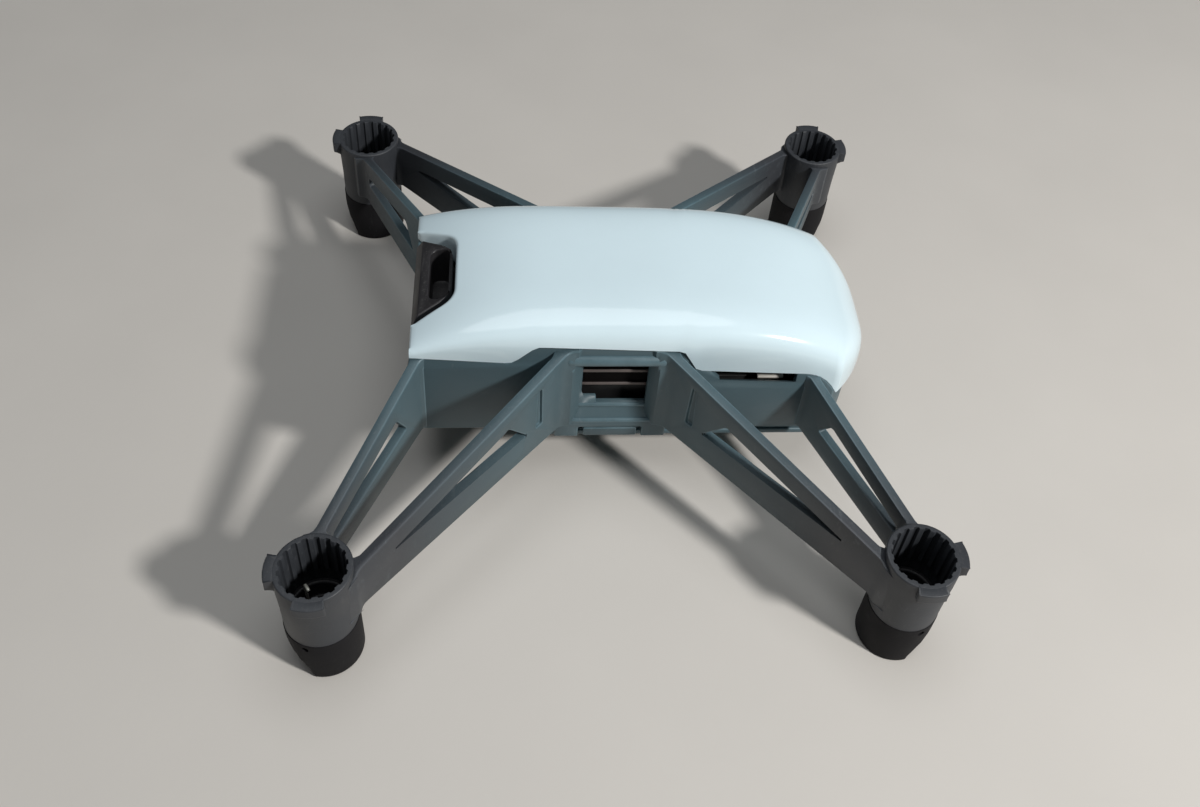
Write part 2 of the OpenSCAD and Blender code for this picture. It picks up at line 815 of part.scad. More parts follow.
module body_shell() {
  color(strut_color) difference() {
    union() {
      intersection() {
        difference() {
          union() {
            difference() {
              slab(groove_d, plate_top, groove_top + eps);
              fore_strips(fore_inset - band_wall, 0, far);
            }
            slab(0, groove_top, crown_z);
          }
          difference() {
            slab(band_inset, plate_top - eps, groove_top + wall + eps);
            fore_strips(fore_inset, wall, groove_top + wall);
          }
          slab(wall, groove_top + wall, crown_z + eps);
        }
        under_edge(seat_gap);
        union() {
          leaning_wall(fore_shoulder_z, shoulder_x, far);
          leaning_wall(aft_shoulder_z, -far, shoulder_x);
        }
      }
      intersection() {
        both_sides() block(
          [-mid_root_x, pocket_y - pocket_wall, groove_top],
          [mid_root_x, half_w - wall + eps, crown_z]
        );
        under_edge(seat_gap);
      }
      for (side = [-1, 1]) translate([side * (button_l / 2 + rail_gap + rail_l / 2), 0, 0])
        block([-rail_l / 2, band_out - eps, plate_top], [rail_l / 2, half_w, groove_top + eps]);
      boss_places() translate([0, 0, plate_top]) cylinder(r = boss_r, h = boss_h);
      both_sides() for (x = [boss_aft_x, boss_fore_x])
        block(
          [x - wall / 2, boss_y, plate_top],
          [x + wall / 2, half_w - fore_inset + eps, plate_top + boss_h]
        );
    }
    both_sides() {
      pocket_cut();
      difference() {
        block(
          [vent_rear, pocket_y - pocket_wall - eps, vent_low],
          [vent_front, pocket_y + eps, vent_high]
        );
        block(
          [vent_front - sill_l, pocket_y - wall, vent_low - eps],
          [vent_front + eps, pocket_y + wall, vent_low + sill_h]
        );
      }
      intersection() {
        across([
          [slit_rear, slit_low - slit_fall],
          [slit_front - slit_slant, slit_low],
          [slit_front, edge_aft_z],
          [slit_front, crown_z],
          [slit_rear, crown_z]
        ]);
        block([-far, half_w - wall - eps, 0], [far, half_w + eps, crown_z]);
      }
    }
    boss_places() translate([0, 0, plate_top - eps])
      cylinder(r = shank_r + shank_gap, h = boss_h + 2 * eps);
    block(
      [-far, -tray_in, tray_floor],
      [battery_rear + band_inset, tray_in, tail_z + wall]
    );
    translate([0, 0, nose_low]) linear_extrude(far) nose_plan();
    block(
      [-stem_l / 2 - stem_gap, band_in - eps, button_mid_z - stem_h / 2 - stem_gap],
      [stem_l / 2 + stem_gap, band_out + eps, button_mid_z + stem_h / 2 + stem_gap]
    );
  }
}

module bottom_plate() {
  color(foot_color) difference() {
    slab(plate_inset, belly_z, plate_top);
    fore_strips(fore_inset, 0, far);
    boss_places() {
      translate([0, 0, belly_z - eps]) cylinder(r = head_r + shank_gap, h = head_h + eps);
      translate([0, 0, belly_z]) cylinder(r = shank_r + shank_gap, h = plate_t + eps);
    }
    translate([sensor_x, 0, belly_z + window_t / 2 - eps])
      cube([window_l, window_w, window_t + 2 * eps], center = true);
    translate([sensor_x, sensor_y, belly_z]) cylinder(r = flow_r + shank_gap, h = plate_t + eps);
    for (side = sensor_sides)
      translate([sensor_x + side * range_w / 4, -sensor_y, belly_z])
        cylinder(r = range_r, h = plate_t + eps);
  }
}

module nose_housing() {
  bay_x = nose_base + bay_rim + bay_l / 2;
  color(dark_color) difference() {
    union() {
      intersection() {
        union() {
          translate([0, 0, nose_low]) linear_extrude(nose_step - nose_low) nose_plan();
          translate([0, 0, nose_step - eps]) linear_extrude(nose_top - nose_step + eps) nose_top_plan();
        }
        across([
          [nose_rear, nose_low],
          [nose_front - chin, nose_low],
          [nose_front, nose_low + chin],
          [nose_front, nose_brow],
          [nose_front - chin / 2, nose_brow + chin],
          [nose_base + bay_rim, nose_top],
          [nose_base, nose_top],
          [nose_base, nose_step],
          [nose_rear, nose_step]
        ]);
      }
      block(
        [nose_rear - shelf_l, -camera_w / 2, nose_low],
        [nose_rear + eps, camera_w / 2, shelf_top]
      );
    }
    translate([bay_x, 0, bay_floor]) linear_extrude(far) rounded_plate(bay_l, bay_w, bay_r);
    translate([nose_rear - eps, 0, lens_z]) rotate([0, 90, 0])
      cylinder(r = lens_bore_r, h = nose_l + 2 * eps);
    translate([nose_front - lamp_depth, lamp_y, lens_z]) rotate([0, 90, 0])
      cylinder(r = lamp_r, h = lamp_depth + eps);
  }
}

// Rectangle with round corners.
module rounded_plate(length, width, radius) {
  square([length - 2 * radius, width], center = true);
  square([length, width - 2 * radius], center = true);
  for (x = [-1, 1], y = [-1, 1])
    translate([x * (length / 2 - radius), y * (width / 2 - radius)]) circle(r = radius);
}

module camera_block() {
  color(dark_color) block(
    [nose_rear - camera_l, -camera_w / 2, shelf_top],
    [nose_rear, camera_w / 2, shelf_top + camera_h]
  );
}

module lens_barrel() {
  length = nose_l - lens_back;
  color(dark_color) translate([nose_rear, 0, lens_z]) rotate([0, 90, 0]) difference() {
    cylinder(r = lens_r, h = length);
    translate([0, 0, length - glass_t]) cylinder(r = lens_r - barrel_rim, h = glass_t + eps);
  }
}

module lens_glass() {
  color([0.2, 0.25, 0.35]) translate([nose_front - lens_back - glass_t, 0, lens_z]) rotate([0, 90, 0])
    cylinder(r = lens_r - barrel_rim - lens_gap, h = glass_t);
}

module status_lamp() {
  color([0.85, 0.9, 0.85]) translate([nose_front - lamp_depth, lamp_y, lens_z]) rotate([0, 90, 0])
    cylinder(r = lamp_r - shank_gap, h = lamp_depth);
}

// Moves a front left piece to another corner.
module corner(front, left) {
  mirror([front > 0 ? 0 : 1, 0, 0]) mirror([0, left > 0 ? 0 : 1, 0]) children();
}

// Outside of a motor tube, enlarged by gap.
module tube_outside(gap) {
  translate([tube_x, tube_y, foot_h])
    cylinder(r1 = tube_low_r + gap, r2 = tube_r + gap, h = rim_z - foot_h);
}

module motor_tube() {
  color(strut_color) difference() {
    union() {
      tube_outside(0);
      for (turn = [0, 90]) translate([tube_x, tube_y, rim_z - tab_h]) rotate(turn) intersection() {
        cylinder(r = tube_r + tab_reach, h = tab_h);
        block([motor_r + rib_depth, -tab_w / 2, 0], [tube_r + tab_reach, tab_w / 2, tab_h]);
      }
    }
    translate([tube_x, tube_y, 0]) {
      translate([0, 0, foot_h - eps]) cylinder(r = motor_r, h = rim_z);
      translate([0, 0, foot_h - eps]) cylinder(r = chamber_r, h = grip_low - foot_h + eps);
      for (i = [0 : rib_count - 1]) rotate(360 * (i + 0.5) / rib_count)
        translate([0, -groove_w / 2, grip_low - eps])
          cube([motor_r + rib_depth, groove_w, grip_length + 2 * eps]);
    }
  }
}

module foot() {
  sole = atan2(foot_r - sole_reach, cut_top);
  color(foot_color) translate([tube_x, tube_y, 0]) difference() {
    union() {
      cylinder(r = foot_r, h = foot_h);
      cylinder(r = plug_r, h = foot_h + plug_h);
    }
    translate([0, 0, foot_h - foot_hollow]) cylinder(r = plug_r - plug_wall, h = far);
    rotate(cut_turn) translate([sole_reach, -far / 2, 0]) rotate([0, sole, 0])
      translate([0, 0, -far / 2]) cube([far, far, far]);
    rotate(drain_turn) translate([0, 0, drain_z]) rotate([0, 90, 0])
      translate([0, 0, foot_r - plug_wall]) cylinder(r = drain_r, h = foot_r);
  }
}

// Distance from a strut's root to the tube axis, and the strut's direction.
function strut_reach(root_x) = norm([tube_x - root_x, tube_y - half_w]);
function strut_turn(root_x, offset_y, swing) =
  atan2(tube_y - half_w, tube_x - root_x) + swing * asin(offset_y / strut_reach(root_x));

// Blade from the body's side to a motor tube, at the front left corner. The pairs top and low hold its
// heights at root and tube; slot holds start, slant and stop, then level and height as shares of the web,
// at the wide end and at the narrow end.
module strut(root_x, thick, offset_y, swing, top, low, slot, shoulder) {
  turn = strut_turn(root_x, offset_y, swing);
  run = sqrt(pow(strut_reach(root_x), 2) - pow(offset_y, 2));
  over = -wall * 2;
  start = slot[0];
  slant = start + slot[1];
  stop = run - tube_r - slot[2];
  function at(pair, s) = pair[0] + (pair[1] - pair[0]) * s / run;
  function web(s, share) = at(low, s) + (at(top, s) - at(low, s)) * share;
  color(strut_color) difference() {
    translate([root_x, half_w, 0]) rotate(turn) rotate([90, 0, 0]) linear_extrude(thick) difference() {
      polygon([[over, at(low, over)], [run, low[1]], [run, top[1]], [over, at(top, over)]]);
      polygon([
        [start, web(start, slot[3] - slot[4] / 2)],
        [stop, web(stop, slot[5] - slot[6] / 2)],
        [stop, web(stop, slot[5] + slot[6] / 2)],
        [slant, web(slant, slot[3] + slot[4] / 2)]
      ]);
    }
    leaning_wall(shoulder, -far, far);
    tube_outside(weld_gap);
  }
}

module mid_strut() {
  difference() {
    strut(
      mid_root_x, mid_t, mid_offset, 1, [mid_top_root, mid_top_tip], [mid_low_root, mid_low_tip],
      [slot_start, slot_slant, slot_stop, slot_level, slot_wide, slot_tip_level, slot_narrow],
      fore_shoulder_z
    );
    translate([mid_root_x, half_w, 0]) rotate(strut_turn(mid_root_x, mid_offset, 1)) block(
      [relief_x - relief_w / 2, -relief_d, relief_low],
      [relief_x + relief_w / 2, eps, relief_high]
    );
  }
}

module end_strut(root_x, top_root, shoulder) {
  strut(
    root_x, end_t, end_offset, -1, [top_root, end_top_tip], [end_low_root, end_low_tip],
    [
      end_slot_start, end_slot_slant, end_slot_stop,
      end_slot_level, end_slot_wide, end_tip_level, end_slot_narrow
    ],
    shoulder
  );
}

module fore_strut() {
  end_strut(fore_root_x, fore_top_root, fore_shoulder_z);
}

module aft_strut() {
  end_strut(aft_root_x, aft_top_root, aft_shoulder_z);
}

module battery_tray() {
  rear = body_rear + rear_bow * pow(tray_out / half_w, 2) + band_inset + battery_gap;
  color(dark_color) {
    difference() {
      block([rear, -tray_out, plate_top], [tray_front, tray_out, tray_top]);
      block(
        [-far, -tray_in, tray_floor],
        [tray_front - tray_front_t, tray_in, battery_top + battery_gap]
      );
      post_places() translate([0, 0, battery_top]) cylinder(r = shank_r + shank_gap, h = far);
    }
    difference() {
      post_places() translate([0, 0, tray_top - eps]) cylinder(r = post_r, h = post_h + eps);
      post_places() translate([0, 0, battery_top]) cylinder(r = shank_r + shank_gap, h = far);
    }
  }
}

module main_board() {
  color([0.08, 0.25, 0.16]) difference() {
    block([board_rear, -board_w / 2, board_low], [board_front, board_w / 2, board_top]);
    post_places() translate([0, 0, board_low - eps])
      cylinder(r = shank_r + shank_gap, h = board_t + 2 * eps);
  }
}

module shield_can() {
  color(metal_color) block(
    [shield_x - shield_l / 2, -shield_w / 2, board_top],
    [shield_x + shield_l / 2, shield_w / 2, shield_top]
  );
}

// Core on the shield can, a sheet out to the left vent, and an upright plate there with level fins.
module heat_sink() {
  core_x = shield_x + shield_l / 2 - core_w;
  plate_in = board_w / 2 + sink_gap;
  plate_out = plate_in + sink_t;
  sheet_top = shield_top + fin_t;
  color([0.2, 0.15, 0.13]) {
    block([core_x, -core_w / 2, shield_top], [core_x + core_w, core_w / 2, sheet_top + fin_t]);
    block([-fin_l / 2, -core_w / 2, shield_top], [fin_l / 2, plate_out, sheet_top]);
    block([-fin_l / 2, plate_in, fin_low - fin_t], [fin_l / 2, plate_out, sheet_top]);
    for (i = [0 : fin_count - 1]) translate([0, 0, fin_low + fin_pitch * i]) block(
      [-fin_l / 2, plate_in, -fin_t],
      [fin_l / 2, pocket_y - pocket_wall - fin_gap, 0]
    );
  }
}

module usb_socket() {
  mouth = -pocket_y + pocket_wall + fin_gap;
  middle = (vent_front + vent_rear) / 2;
  color(metal_color) difference() {
    block(
      [middle - usb_w / 2, mouth, board_top],
      [middle + usb_w / 2, mouth + usb_d, board_top + usb_h]
    );
    block(
      [middle - usb_w / 2 + usb_wall, mouth - eps, board_top + usb_wall],
      [middle + usb_w / 2 - usb_wall, mouth + usb_d - usb_wall, board_top + usb_h - usb_wall]
    );
  }
}

module power_switch() {
  color(metal_color) block(
    [-switch_l / 2, tray_out, button_mid_z - switch_h / 2],
    [switch_l / 2, tray_out + switch_t, button_mid_z + switch_h / 2]
  );
}

module contact_places() {
  for (i = [-1 : 1]) translate([0, i * pad_pitch, (battery_low + battery_top) / 2]) children();
}

module battery_socket() {
  color([0.75, 0.6, 0.25]) contact_places() block(
    [battery_front + pad_t + battery_gap, -pad_w / 2, -pad_h / 2],
    [tray_front - tray_front_t, pad_w / 2, pad_h / 2]
  );
}

// Strip on the board's edge, seen through the slit.
module antenna() {
  color([0.9, 0.9, 0.85]) block(
    [antenna_x - antenna_l / 2, board_w / 2, board_low],
    [antenna_x + antenna_l / 2, board_w / 2 + antenna_w, board_low + antenna_t]
  );
}

module antenna_left() {
  antenna();
}

module antenna_right() {
  mirror([0, 1, 0]) antenna();
}

module motor_sockets() {
  color([0.88, 0.86, 0.8]) for (x = [socket_fore_x, socket_aft_x], side = [-1, 1])
    translate([x - socket_l / 2, side * socket_y - socket_w / 2, board_top])
      cube([socket_l, socket_w, socket_h]);
}

// One lead that stands in the foot's hollow and bends over.
module lead(turn, rise) {
  rotate(turn) translate([lead_bend, 0, 0]) {
    cylinder(r = lead_r, h = rise);
    translate([-lead_bend, 0, rise]) rotate([90, 0, 0]) rotate_extrude(angle = lead_curl)
      translate([lead_bend, 0]) circle(r = lead_r);
  }
}

module motor_leads() {
  floor_z = foot_h - foot_hollow;
  color([0.8, 0.8, 0.74]) translate([tube_x + lead_x, tube_y + lead_y, floor_z]) {
    for (i = [0, 1]) translate([0, lead_bend * (1 - 2 * i), 0])
      lead(lead_turn * (1 + i), lead_rise * (1 + lead_stagger * i));
  }
}

module flow_camera() {
  color(dark_color) translate([sensor_x, sensor_y, 0]) {
    translate([-flow_w / 2, -flow_w / 2, plate_top]) cube([flow_w, flow_w, flow_h]);
    translate([0, 0, belly_z + window_t]) cylinder(r = flow_r, h = plate_t - window_t + eps);
  }
}

module range_sensor() {
  color(dark_color) translate([sensor_x - range_w / 2, -sensor_y - range_w / 4, plate_top])
    cube([range_w, range_w / 2, range_h]);
}

module belly_window() {
  color([0.1, 0.1, 0.12]) translate([sensor_x, 0, belly_z + window_t / 2])
    cube([window_l - 2 * shank_gap, window_w - 2 * shank_gap, window_t], center = true);
}

module belly_screws() {
  color(metal_color) boss_places() translate([0, 0, belly_z + head_h]) screw(belly_screw_l);
}

module board_screws() {
  color(metal_color) post_places() translate([0, 0, board_top]) mirror([0, 0, 1]) screw(board_screw_l);
}

// Space of the nose notch, whose walls lean in toward the bottom, enlarged by grow.
notch_over = 2;
module notch_cut(grow) {
  low = edge_fore_z;
  high = crown_z;
  over = cover_front + notch_over;
  spread = notch_slope * (over - notch_x);
  function ring(z, lean, back) = let (
      base = notch_base_w / 2 - lean + grow,
      x = notch_x + back - grow,
      left = round_corner([x, base], [over, base + spread])
    ) concat(
      [for (i = [len(left) - 1 : -1 : 0]) [left[i][0], left[i][1], z]],
      [for (p = left) [p[0], -p[1], z]]
    );
  loft([
    ring(low - notch_over, notch_lean, base_lean), ring(low, notch_lean, base_lean),
    ring(high - notch_over, 0, 0), ring(high + notch_over, 0, 0)
  ]);
}

module top_cover() {
  color([0.84, 0.91, 0.95]) {
    difference() {
      cover_form(0);
      difference() {
        cover_form(cover_t);
        notch_cut(cover_t);
      }
      under_edge(0);
      notch_cut(0);
    }
    both_sides() for (x = [snap_fore_x, snap_aft_x]) {
      high_edge = edge_at(x + snap_w / 2);
      block(
        [x - snap_w / 2, snap_in, high_edge - snap_drop],
        [x + snap_w / 2, half_w - wall - seat_gap, high_edge + eps]
      );
      block(
        [x - snap_w / 2, snap_in, high_edge],
        [x + snap_w / 2, half_cover - cover_t + snap_sunk, high_edge + snap_drop / 2]
      );
    }
  }
}

module battery_case() {
  color([0.25, 0.27, 0.29]) block(
    [battery_rear, -battery_w / 2, battery_low],
    [battery_front, battery_w / 2, battery_top]
  );
}

module battery_tail() {
  color(strut_color) difference() {
    intersection() {
      slab(battery_gap, battery_low, battery_top);
      block([-far, -battery_w / 2, battery_low], [battery_rear, battery_w / 2, battery_top]);
    }
    block(
      [-far, -finger_w / 2, (battery_low + battery_top - finger_h) / 2],
      [body_rear + battery_gap + finger_d, finger_w / 2, (battery_low + battery_top + finger_h) / 2]
    );
  }
}

module battery_pads() {
  color([0.8, 0.65, 0.3]) contact_places() block(
    [battery_front, -pad_w / 2, -pad_h / 2],
    [battery_front + pad_t, pad_w / 2, pad_h / 2]
  );
}

module power_button() {
  color(strut_color) {
    block(
      [-button_l / 2, half_w - button_t, button_mid_z - button_h / 2],
      [button_l / 2, half_w, button_mid_z + button_h / 2]
    );
    block(
      [-stem_l / 2, stem_in - flange_t, button_mid_z - stem_h / 2],
      [stem_l / 2, half_w - button_t + eps, button_mid_z + stem_h / 2]
    );
    block(
      [-stem_l / 2 - 2 * stem_gap, stem_in - flange_t, button_mid_z - stem_h / 2],
      [stem_l / 2 + 2 * stem_gap, stem_in, button_mid_z + stem_h / 2]
    );
  }
}

body_shell();
bottom_plate();
nose_housing();
camera_block();
lens_barrel();
lens_glass();
status_lamp();
corner(1, 1) fore_strut();  // strut_fl_end
corner(1, 1) mid_strut();  // strut_fl_mid
corner(1, -1) fore_strut();  // strut_fr_end
corner(1, -1) mid_strut();  // strut_fr_mid
corner(-1, 1) aft_strut();  // strut_rl_end
corner(-1, 1) mid_strut();  // strut_rl_mid
corner(-1, -1) aft_strut();  // strut_rr_end
corner(-1, -1) mid_strut();  // strut_rr_mid
corner(1, 1) motor_tube();  // motor_tube_fl
corner(1, -1) motor_tube();  // motor_tube_fr
corner(-1, 1) motor_tube();  // motor_tube_rl
corner(-1, -1) motor_tube();  // motor_tube_rr
corner(1, 1) foot();  // foot_fl
corner(1, -1) foot();  // foot_fr
corner(-1, 1) foot();  // foot_rl
corner(-1, -1) foot();  // foot_rr
battery_tray();
main_board();
shield_can();
heat_sink();
usb_socket();
power_switch();
battery_socket();
antenna_left();
antenna_right();
motor_sockets();
motor_leads();
flow_camera();
range_sensor();
belly_window();
belly_screws();
board_screws();
top_cover();
battery_case();
battery_tail();
battery_pads();
power_button();
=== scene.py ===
"""Mini palm drone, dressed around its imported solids. Modelled in millimetres, kept in metres."""

import math

import bpy
import numpy as np
from bpy.props import FloatProperty, FloatVectorProperty, PointerProperty
from mathutils import Matrix, Vector


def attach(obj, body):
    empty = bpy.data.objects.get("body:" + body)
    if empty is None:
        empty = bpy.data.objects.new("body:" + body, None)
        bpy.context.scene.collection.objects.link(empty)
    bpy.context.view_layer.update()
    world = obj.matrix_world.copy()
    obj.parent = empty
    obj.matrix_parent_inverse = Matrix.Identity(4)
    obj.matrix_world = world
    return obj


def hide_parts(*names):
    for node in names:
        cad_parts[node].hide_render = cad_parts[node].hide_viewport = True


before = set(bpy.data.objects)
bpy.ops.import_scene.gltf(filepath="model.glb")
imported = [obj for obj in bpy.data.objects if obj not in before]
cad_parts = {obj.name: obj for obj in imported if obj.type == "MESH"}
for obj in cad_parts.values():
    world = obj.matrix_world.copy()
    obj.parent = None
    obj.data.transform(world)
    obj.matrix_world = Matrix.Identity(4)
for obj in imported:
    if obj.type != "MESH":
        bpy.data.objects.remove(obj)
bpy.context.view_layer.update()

bl_info = {
    "name": "Mini palm drone",
    "version": (1, 0, 0),
    "blender": (4, 5, 0),
    "location": "View3D > Sidebar > Drone",
    "description": "Builds the dressed pieces of a mini palm drone around its solids",
    "category": "Object",
}

MM = 0.001
CORNERS = {"fl": (1, 1), "fr": (1, -1), "rl": (-1, 1), "rr": (-1, -1)}

# Sizes are in millimetres, in the layout of the part's source.

# Motor tubes with their ribs and clip tabs
TUBE_X, TUBE_Y = 40.0, 42.8
TUBE_R, TUBE_LOW_R, CHAMBER_R, GRIP_R = 5.0, 4.95, 4.55, 4.25
RIM_Z, GRIP_MID, GRIP_LOW, GRIP_LEAD, FOOT_TOP = 20.0, 16.0, 12.5, 0.25, 8.5
FLARE, FLARE_TOP = ((0.01, 10), (0.03, 13)), 17
MOUTH_W, MOUTH_H = 0.12, 0.14
RIBS, RIB_STEPS, GROOVE_SHARE, GROOVE_FLANK, MOUTH_GROOVE = 18, 10, 0.47, 0.08, 0.7
TAB_W, TAB_REACH, TAB_H, TAB_TAPER = 4.2, 1.2, 2.6, 0.9
TAB_ROOT, TAB_STEP, TAB_FLARE, TAB_ROUND = 0.2, 0.15, 1.12, 0.18
RIM_TURNS = (15, 30, 45, 60, 75, 90)

# Feet
FOOT_R, PLUG_R, PLUG_TOP, PLUG_BORE, FOOT_FLOOR = 5.05, 4.5, 10.0, 3.7, 7.0
FOOT_MID, SOLE_FLAT, AXIS_R, LIP_ROUND, CUT_ROUND = 4.0, 0.4, 0.02, 0.14, 0.3
SOLE_REACH, CUT_TOP, CUT_TURN = 2.0, 7.2, 12.0
DRAIN_R, DRAIN_TURN, DRAIN_Z, DRAIN_OUT, DRAIN_L = 0.5, 70.0, 7.4, 0.7, 3.0
FOOT_TURNS = (0, 22, 45, 68, 90)

# Body wall with its pockets, windows, slits and the gaps beside the button
HALF_W, WALL_INNER = 14.4, 13.4
FORE_SHOULDER, AFT_SHOULDER, SHOULDER_IN, LEAN_TOP = 24.8, 20.3, 0.6, 27.1
LINTEL_Z, LEDGE_Z, POCKET_X, POCKET_BACK = 25.4, 12.6, 8.2, 13.0
VENT_REAR, VENT_FORE, VENT_LOW, VENT_HIGH = -5.0, 4.6, 15.6, 24.2
SLIT_REAR, SLIT_FORE, SLIT_LOW, SLIT_FALL = -26.8, -15.4, 22.3, 0.5
LIP_INNER, LIP_OUTER, LIP_DEEP, LIP_OVER = 12.9, 14.3, 1.25, 0.1
BUTTON_END, BUTTON_GAP, BUTTON_LOW, BUTTON_HIGH = 4.05, 0.9, 9.2, 12.2
BUTTON_BACK, BUTTON_FACE = 10.5, 13.0
BEADS = (
    # place across, height, radius, rear end and front end
    (13.75, 26.2, 0.95, -7.6, 7.4),
    (12.95, 15.05, 0.4, -5.4, 5.2),
    (14.1, 12.75, 0.42, -7.1, 7.1),
)
BEAD_END = 0.8
# Faces of the heat sink that look out keep the fins' brown as if lit; all others take painted
# shade
FIN_FACE, FIN_DEEP, FIN_TURN = 11.95, 0.15, 0.3

# Slots: start, slant and stop; level and height at the wide end, then at the tip
MID_SLOT = (8.0, 3.8, 5.0, 0.56, 0.40, 0.64, 0.04)
END_SLOT = (4.6, 2.4, 1.8, 0.55, 0.35, 0.56, 0.18)
STRUTS = {
    # root place, thickness, offset, swing; top and lower edge at root and tip; shoulder, share of
    # the root blend, slot
    "mid": (7.2, 1.5, 4.15, 1, (28.0, 18.2), (12.2, 10.3), FORE_SHOULDER, 1.0, MID_SLOT),
    "fore_end": (27.8, 1.4, 1.5, -1, (26.6, 18.4), (11.6, 10.4), FORE_SHOULDER, 0.45, END_SLOT),
    "aft_end": (28.8, 1.4, 1.5, -1, (23.0, 18.4), (11.6, 10.4), AFT_SHOULDER, 0.45, END_SLOT),
}
STRUT_SPAN, STRUT_ROWS, STRUT_BEFORE, TIP_SHARE, TUBE_BITE = 72, 10, 2.4, 0.8, 0.12
RELIEF_AT, RELIEF_LOW, RELIEF_HIGH, RELIEF_W, RELIEF_NARROW = 5.4, 16.8, 24.8, 0.62, 0.26

# Cover: outline, notch, crown, spring line, tail and squareness of its sections
COVER_FRONT, COVER_REAR, COVER_HALF, COVER_T = 29.3, -39.6, 14.2, 1.1
NOTCH_X, NOTCH_BASE, NOTCH_TIP, NOTCH_ROUND = 23.2, 6.3, 9.6, 2.2
NOTCH_FLAT, NOTCH_TURN, WALL_LEAN, BASE_LEAN = 3.5, 2.5, 5.1, 0.2
CROWN_X, CROWN_Z, CROWN_FALL, TAIL_Z = 3.0, 33.1, 4.3, 19.0
SPRING_X, SPRING_Z, SPRING_FALL, SPRING_RISE = -13.5, 24.0, 6.5, 2.6
TAIL_L, TAIL_BOW, TAIL_CROWD, TAIL_GAP = 6.1, 0.42, 2.38, 0.0004
SQUARE = 0.4
# Cover's mesh and clips
INNER_ROWS, OUTER_ROWS, TAIL_COLUMNS, MAIN_COLUMNS, STRETCH_FROM = 26, 22, 34, 66, 14.0
WALL_STEPS, WALL_STEP = 3, 0.4
CLIP_X, CLIP_Y, CLIP_HALF = (19.0, -29.0), (12.3, 13.1), 1.5
CLIP_DOWN, CLIP_UP, CLIP_ROUND = 2.2, 1.1, 0.18

# A rounding needs this many widths beside an edge: alone, or next to another rounding.
ROOM_ALONE, ROOM_SHARED, IN_LINE = 1.05, 2.1, 0.8


# ------------ settings

def length(name, description, default):
    """A size setting, in metres."""
    return amount(name, description, default * MM, precision=5, unit="LENGTH")


def colour(name, description, default):
    return FloatVectorProperty(
        name=name, description=description, default=default, min=0.0, max=1.0, subtype="COLOR"
    )


def amount(name, description, default, least=0.0, **more):
    return FloatProperty(name=name, description=description, default=default, min=least, **more)


class DroneSizes(bpy.types.PropertyGroup):
    """Roundings and blends of the moulded pieces."""

    edge_round: length("Edge rounding", "Edges of the struts", 0.2)
    cover_round: length("Cover rounding", "Rim and notch of the cover", 0.35)
    lintel_round: length("Lintel rounding", "Lintel of the side pockets", 1.1)
    ledge_round: length("Ledge rounding", "Ledge of the side pockets", 0.5)
    jamb_round: length("Jamb rounding", "Upright edges of the side windows", 0.4)
    rim_round: length("Rim rounding", "Outer rim of the motor tubes", 0.25)
    rim_width: length("Rim width", "Extra width of the rim on both sides", 0.1)
    root_blend: length("Root blend", "Struts into the body wall", 1.0)
    tip_blend: length("Tip blend", "Struts into the motor tubes", 1.1)
    foot_round: length("Foot rounding", "Soles of the feet", 0.35)
    slot_round: length("Slot rounding", "Wide ends of the struts' slots", 0.5)


class DroneColours(bpy.types.PropertyGroup):
    """Colours of the finishes."""

    frame_grey: colour("Frame grey", "Moulded frame", (0.073, 0.120, 0.141))
    # The tubes' own grey, darkened as painted shade on the tubes and in their bores
    tube_grey: colour("Tube grey", "Motor tubes", (0.038, 0.042, 0.049))
    foot_dark: colour("Foot charcoal", "Foot caps", (0.012, 0.0115, 0.013))
    cover_white: colour("Cover white", "Glossy top cover", (0.745, 0.905, 0.975))
    nose_black: colour("Nose black", "Nose housing", (0.022, 0.021, 0.023))
    board_green: colour("Board green", "Main board", (0.012, 0.060, 0.035))
    # The fins' brown, kept on faces that look out as lit; the rest of the heat sink takes painted
    # shade
    fin_brown: colour("Fin brown", "Heat sink edges", (0.125, 0.103, 0.098))
    floor_pale: colour("Floor", "Plain pale floor", (0.66, 0.63, 0.59))


class DroneStage(bpy.types.PropertyGroup):
    """Camera and light."""

    lens: amount("Lens", "Focal length in millimetres", 35.807, 1.0)
    key_power: amount("Key light", "Key light in watts", 2.8)
    top_power: amount("Top light", "Soft top light in watts", 1.6)
    fill: amount("Fill", "Light from all round", 0.05)


# ------------ modelling

def size(key):
    """A size setting in millimetres."""
    return getattr(bpy.context.scene.drone_sizes, key) / MM


def ease(t):
    return t * t * (3 - 2 * t)


def clamp01(t):
    return min(1.0, max(0.0, t))


def clear():
    """Leaves edit mode with nothing selected."""
    if bpy.context.mode != "OBJECT":
        done()
    bpy.ops.object.select_all(action="DESELECT")


def only(piece):
    clear()
    piece.select_set(True)
    bpy.context.view_layer.objects.active = piece


def edit(piece, select="SELECT"):
    only(piece)
    bpy.ops.object.mode_set(mode="EDIT")
    bpy.ops.mesh.select_all(action=select)


def done():
    bpy.ops.object.mode_set(mode="OBJECT")


def select_edges(piece, wanted):
    """Goes into edit mode with the edges selected whose vertices pass the test."""
    edit(piece, "DESELECT")
    bpy.ops.mesh.select_mode(type="EDGE")
    done()
    for e in piece.data.edges:
        e.select = bool(wanted(*(piece.data.vertices[k] for k in e.vertices)))
    bpy.ops.object.mode_set(mode="EDIT")


def edges_done():
    bpy.ops.mesh.select_mode(type="VERT")
    done()


def settle_mesh(piece, gap=0.001):
    """Closes seams and poles and turns the faces outward."""
    edit(piece)
    bpy.ops.mesh.remove_doubles(threshold=gap)
    bpy.ops.mesh.normals_make_consistent(inside=False)
    done()
    return piece


def modify(piece, kind, **settings):
    only(piece)
    modifier = piece.modifiers.new(kind.title(), kind)
    for key, value in settings.items():
        setattr(modifier, key, value)
    bpy.ops.object.modifier_apply(modifier=modifier.name)


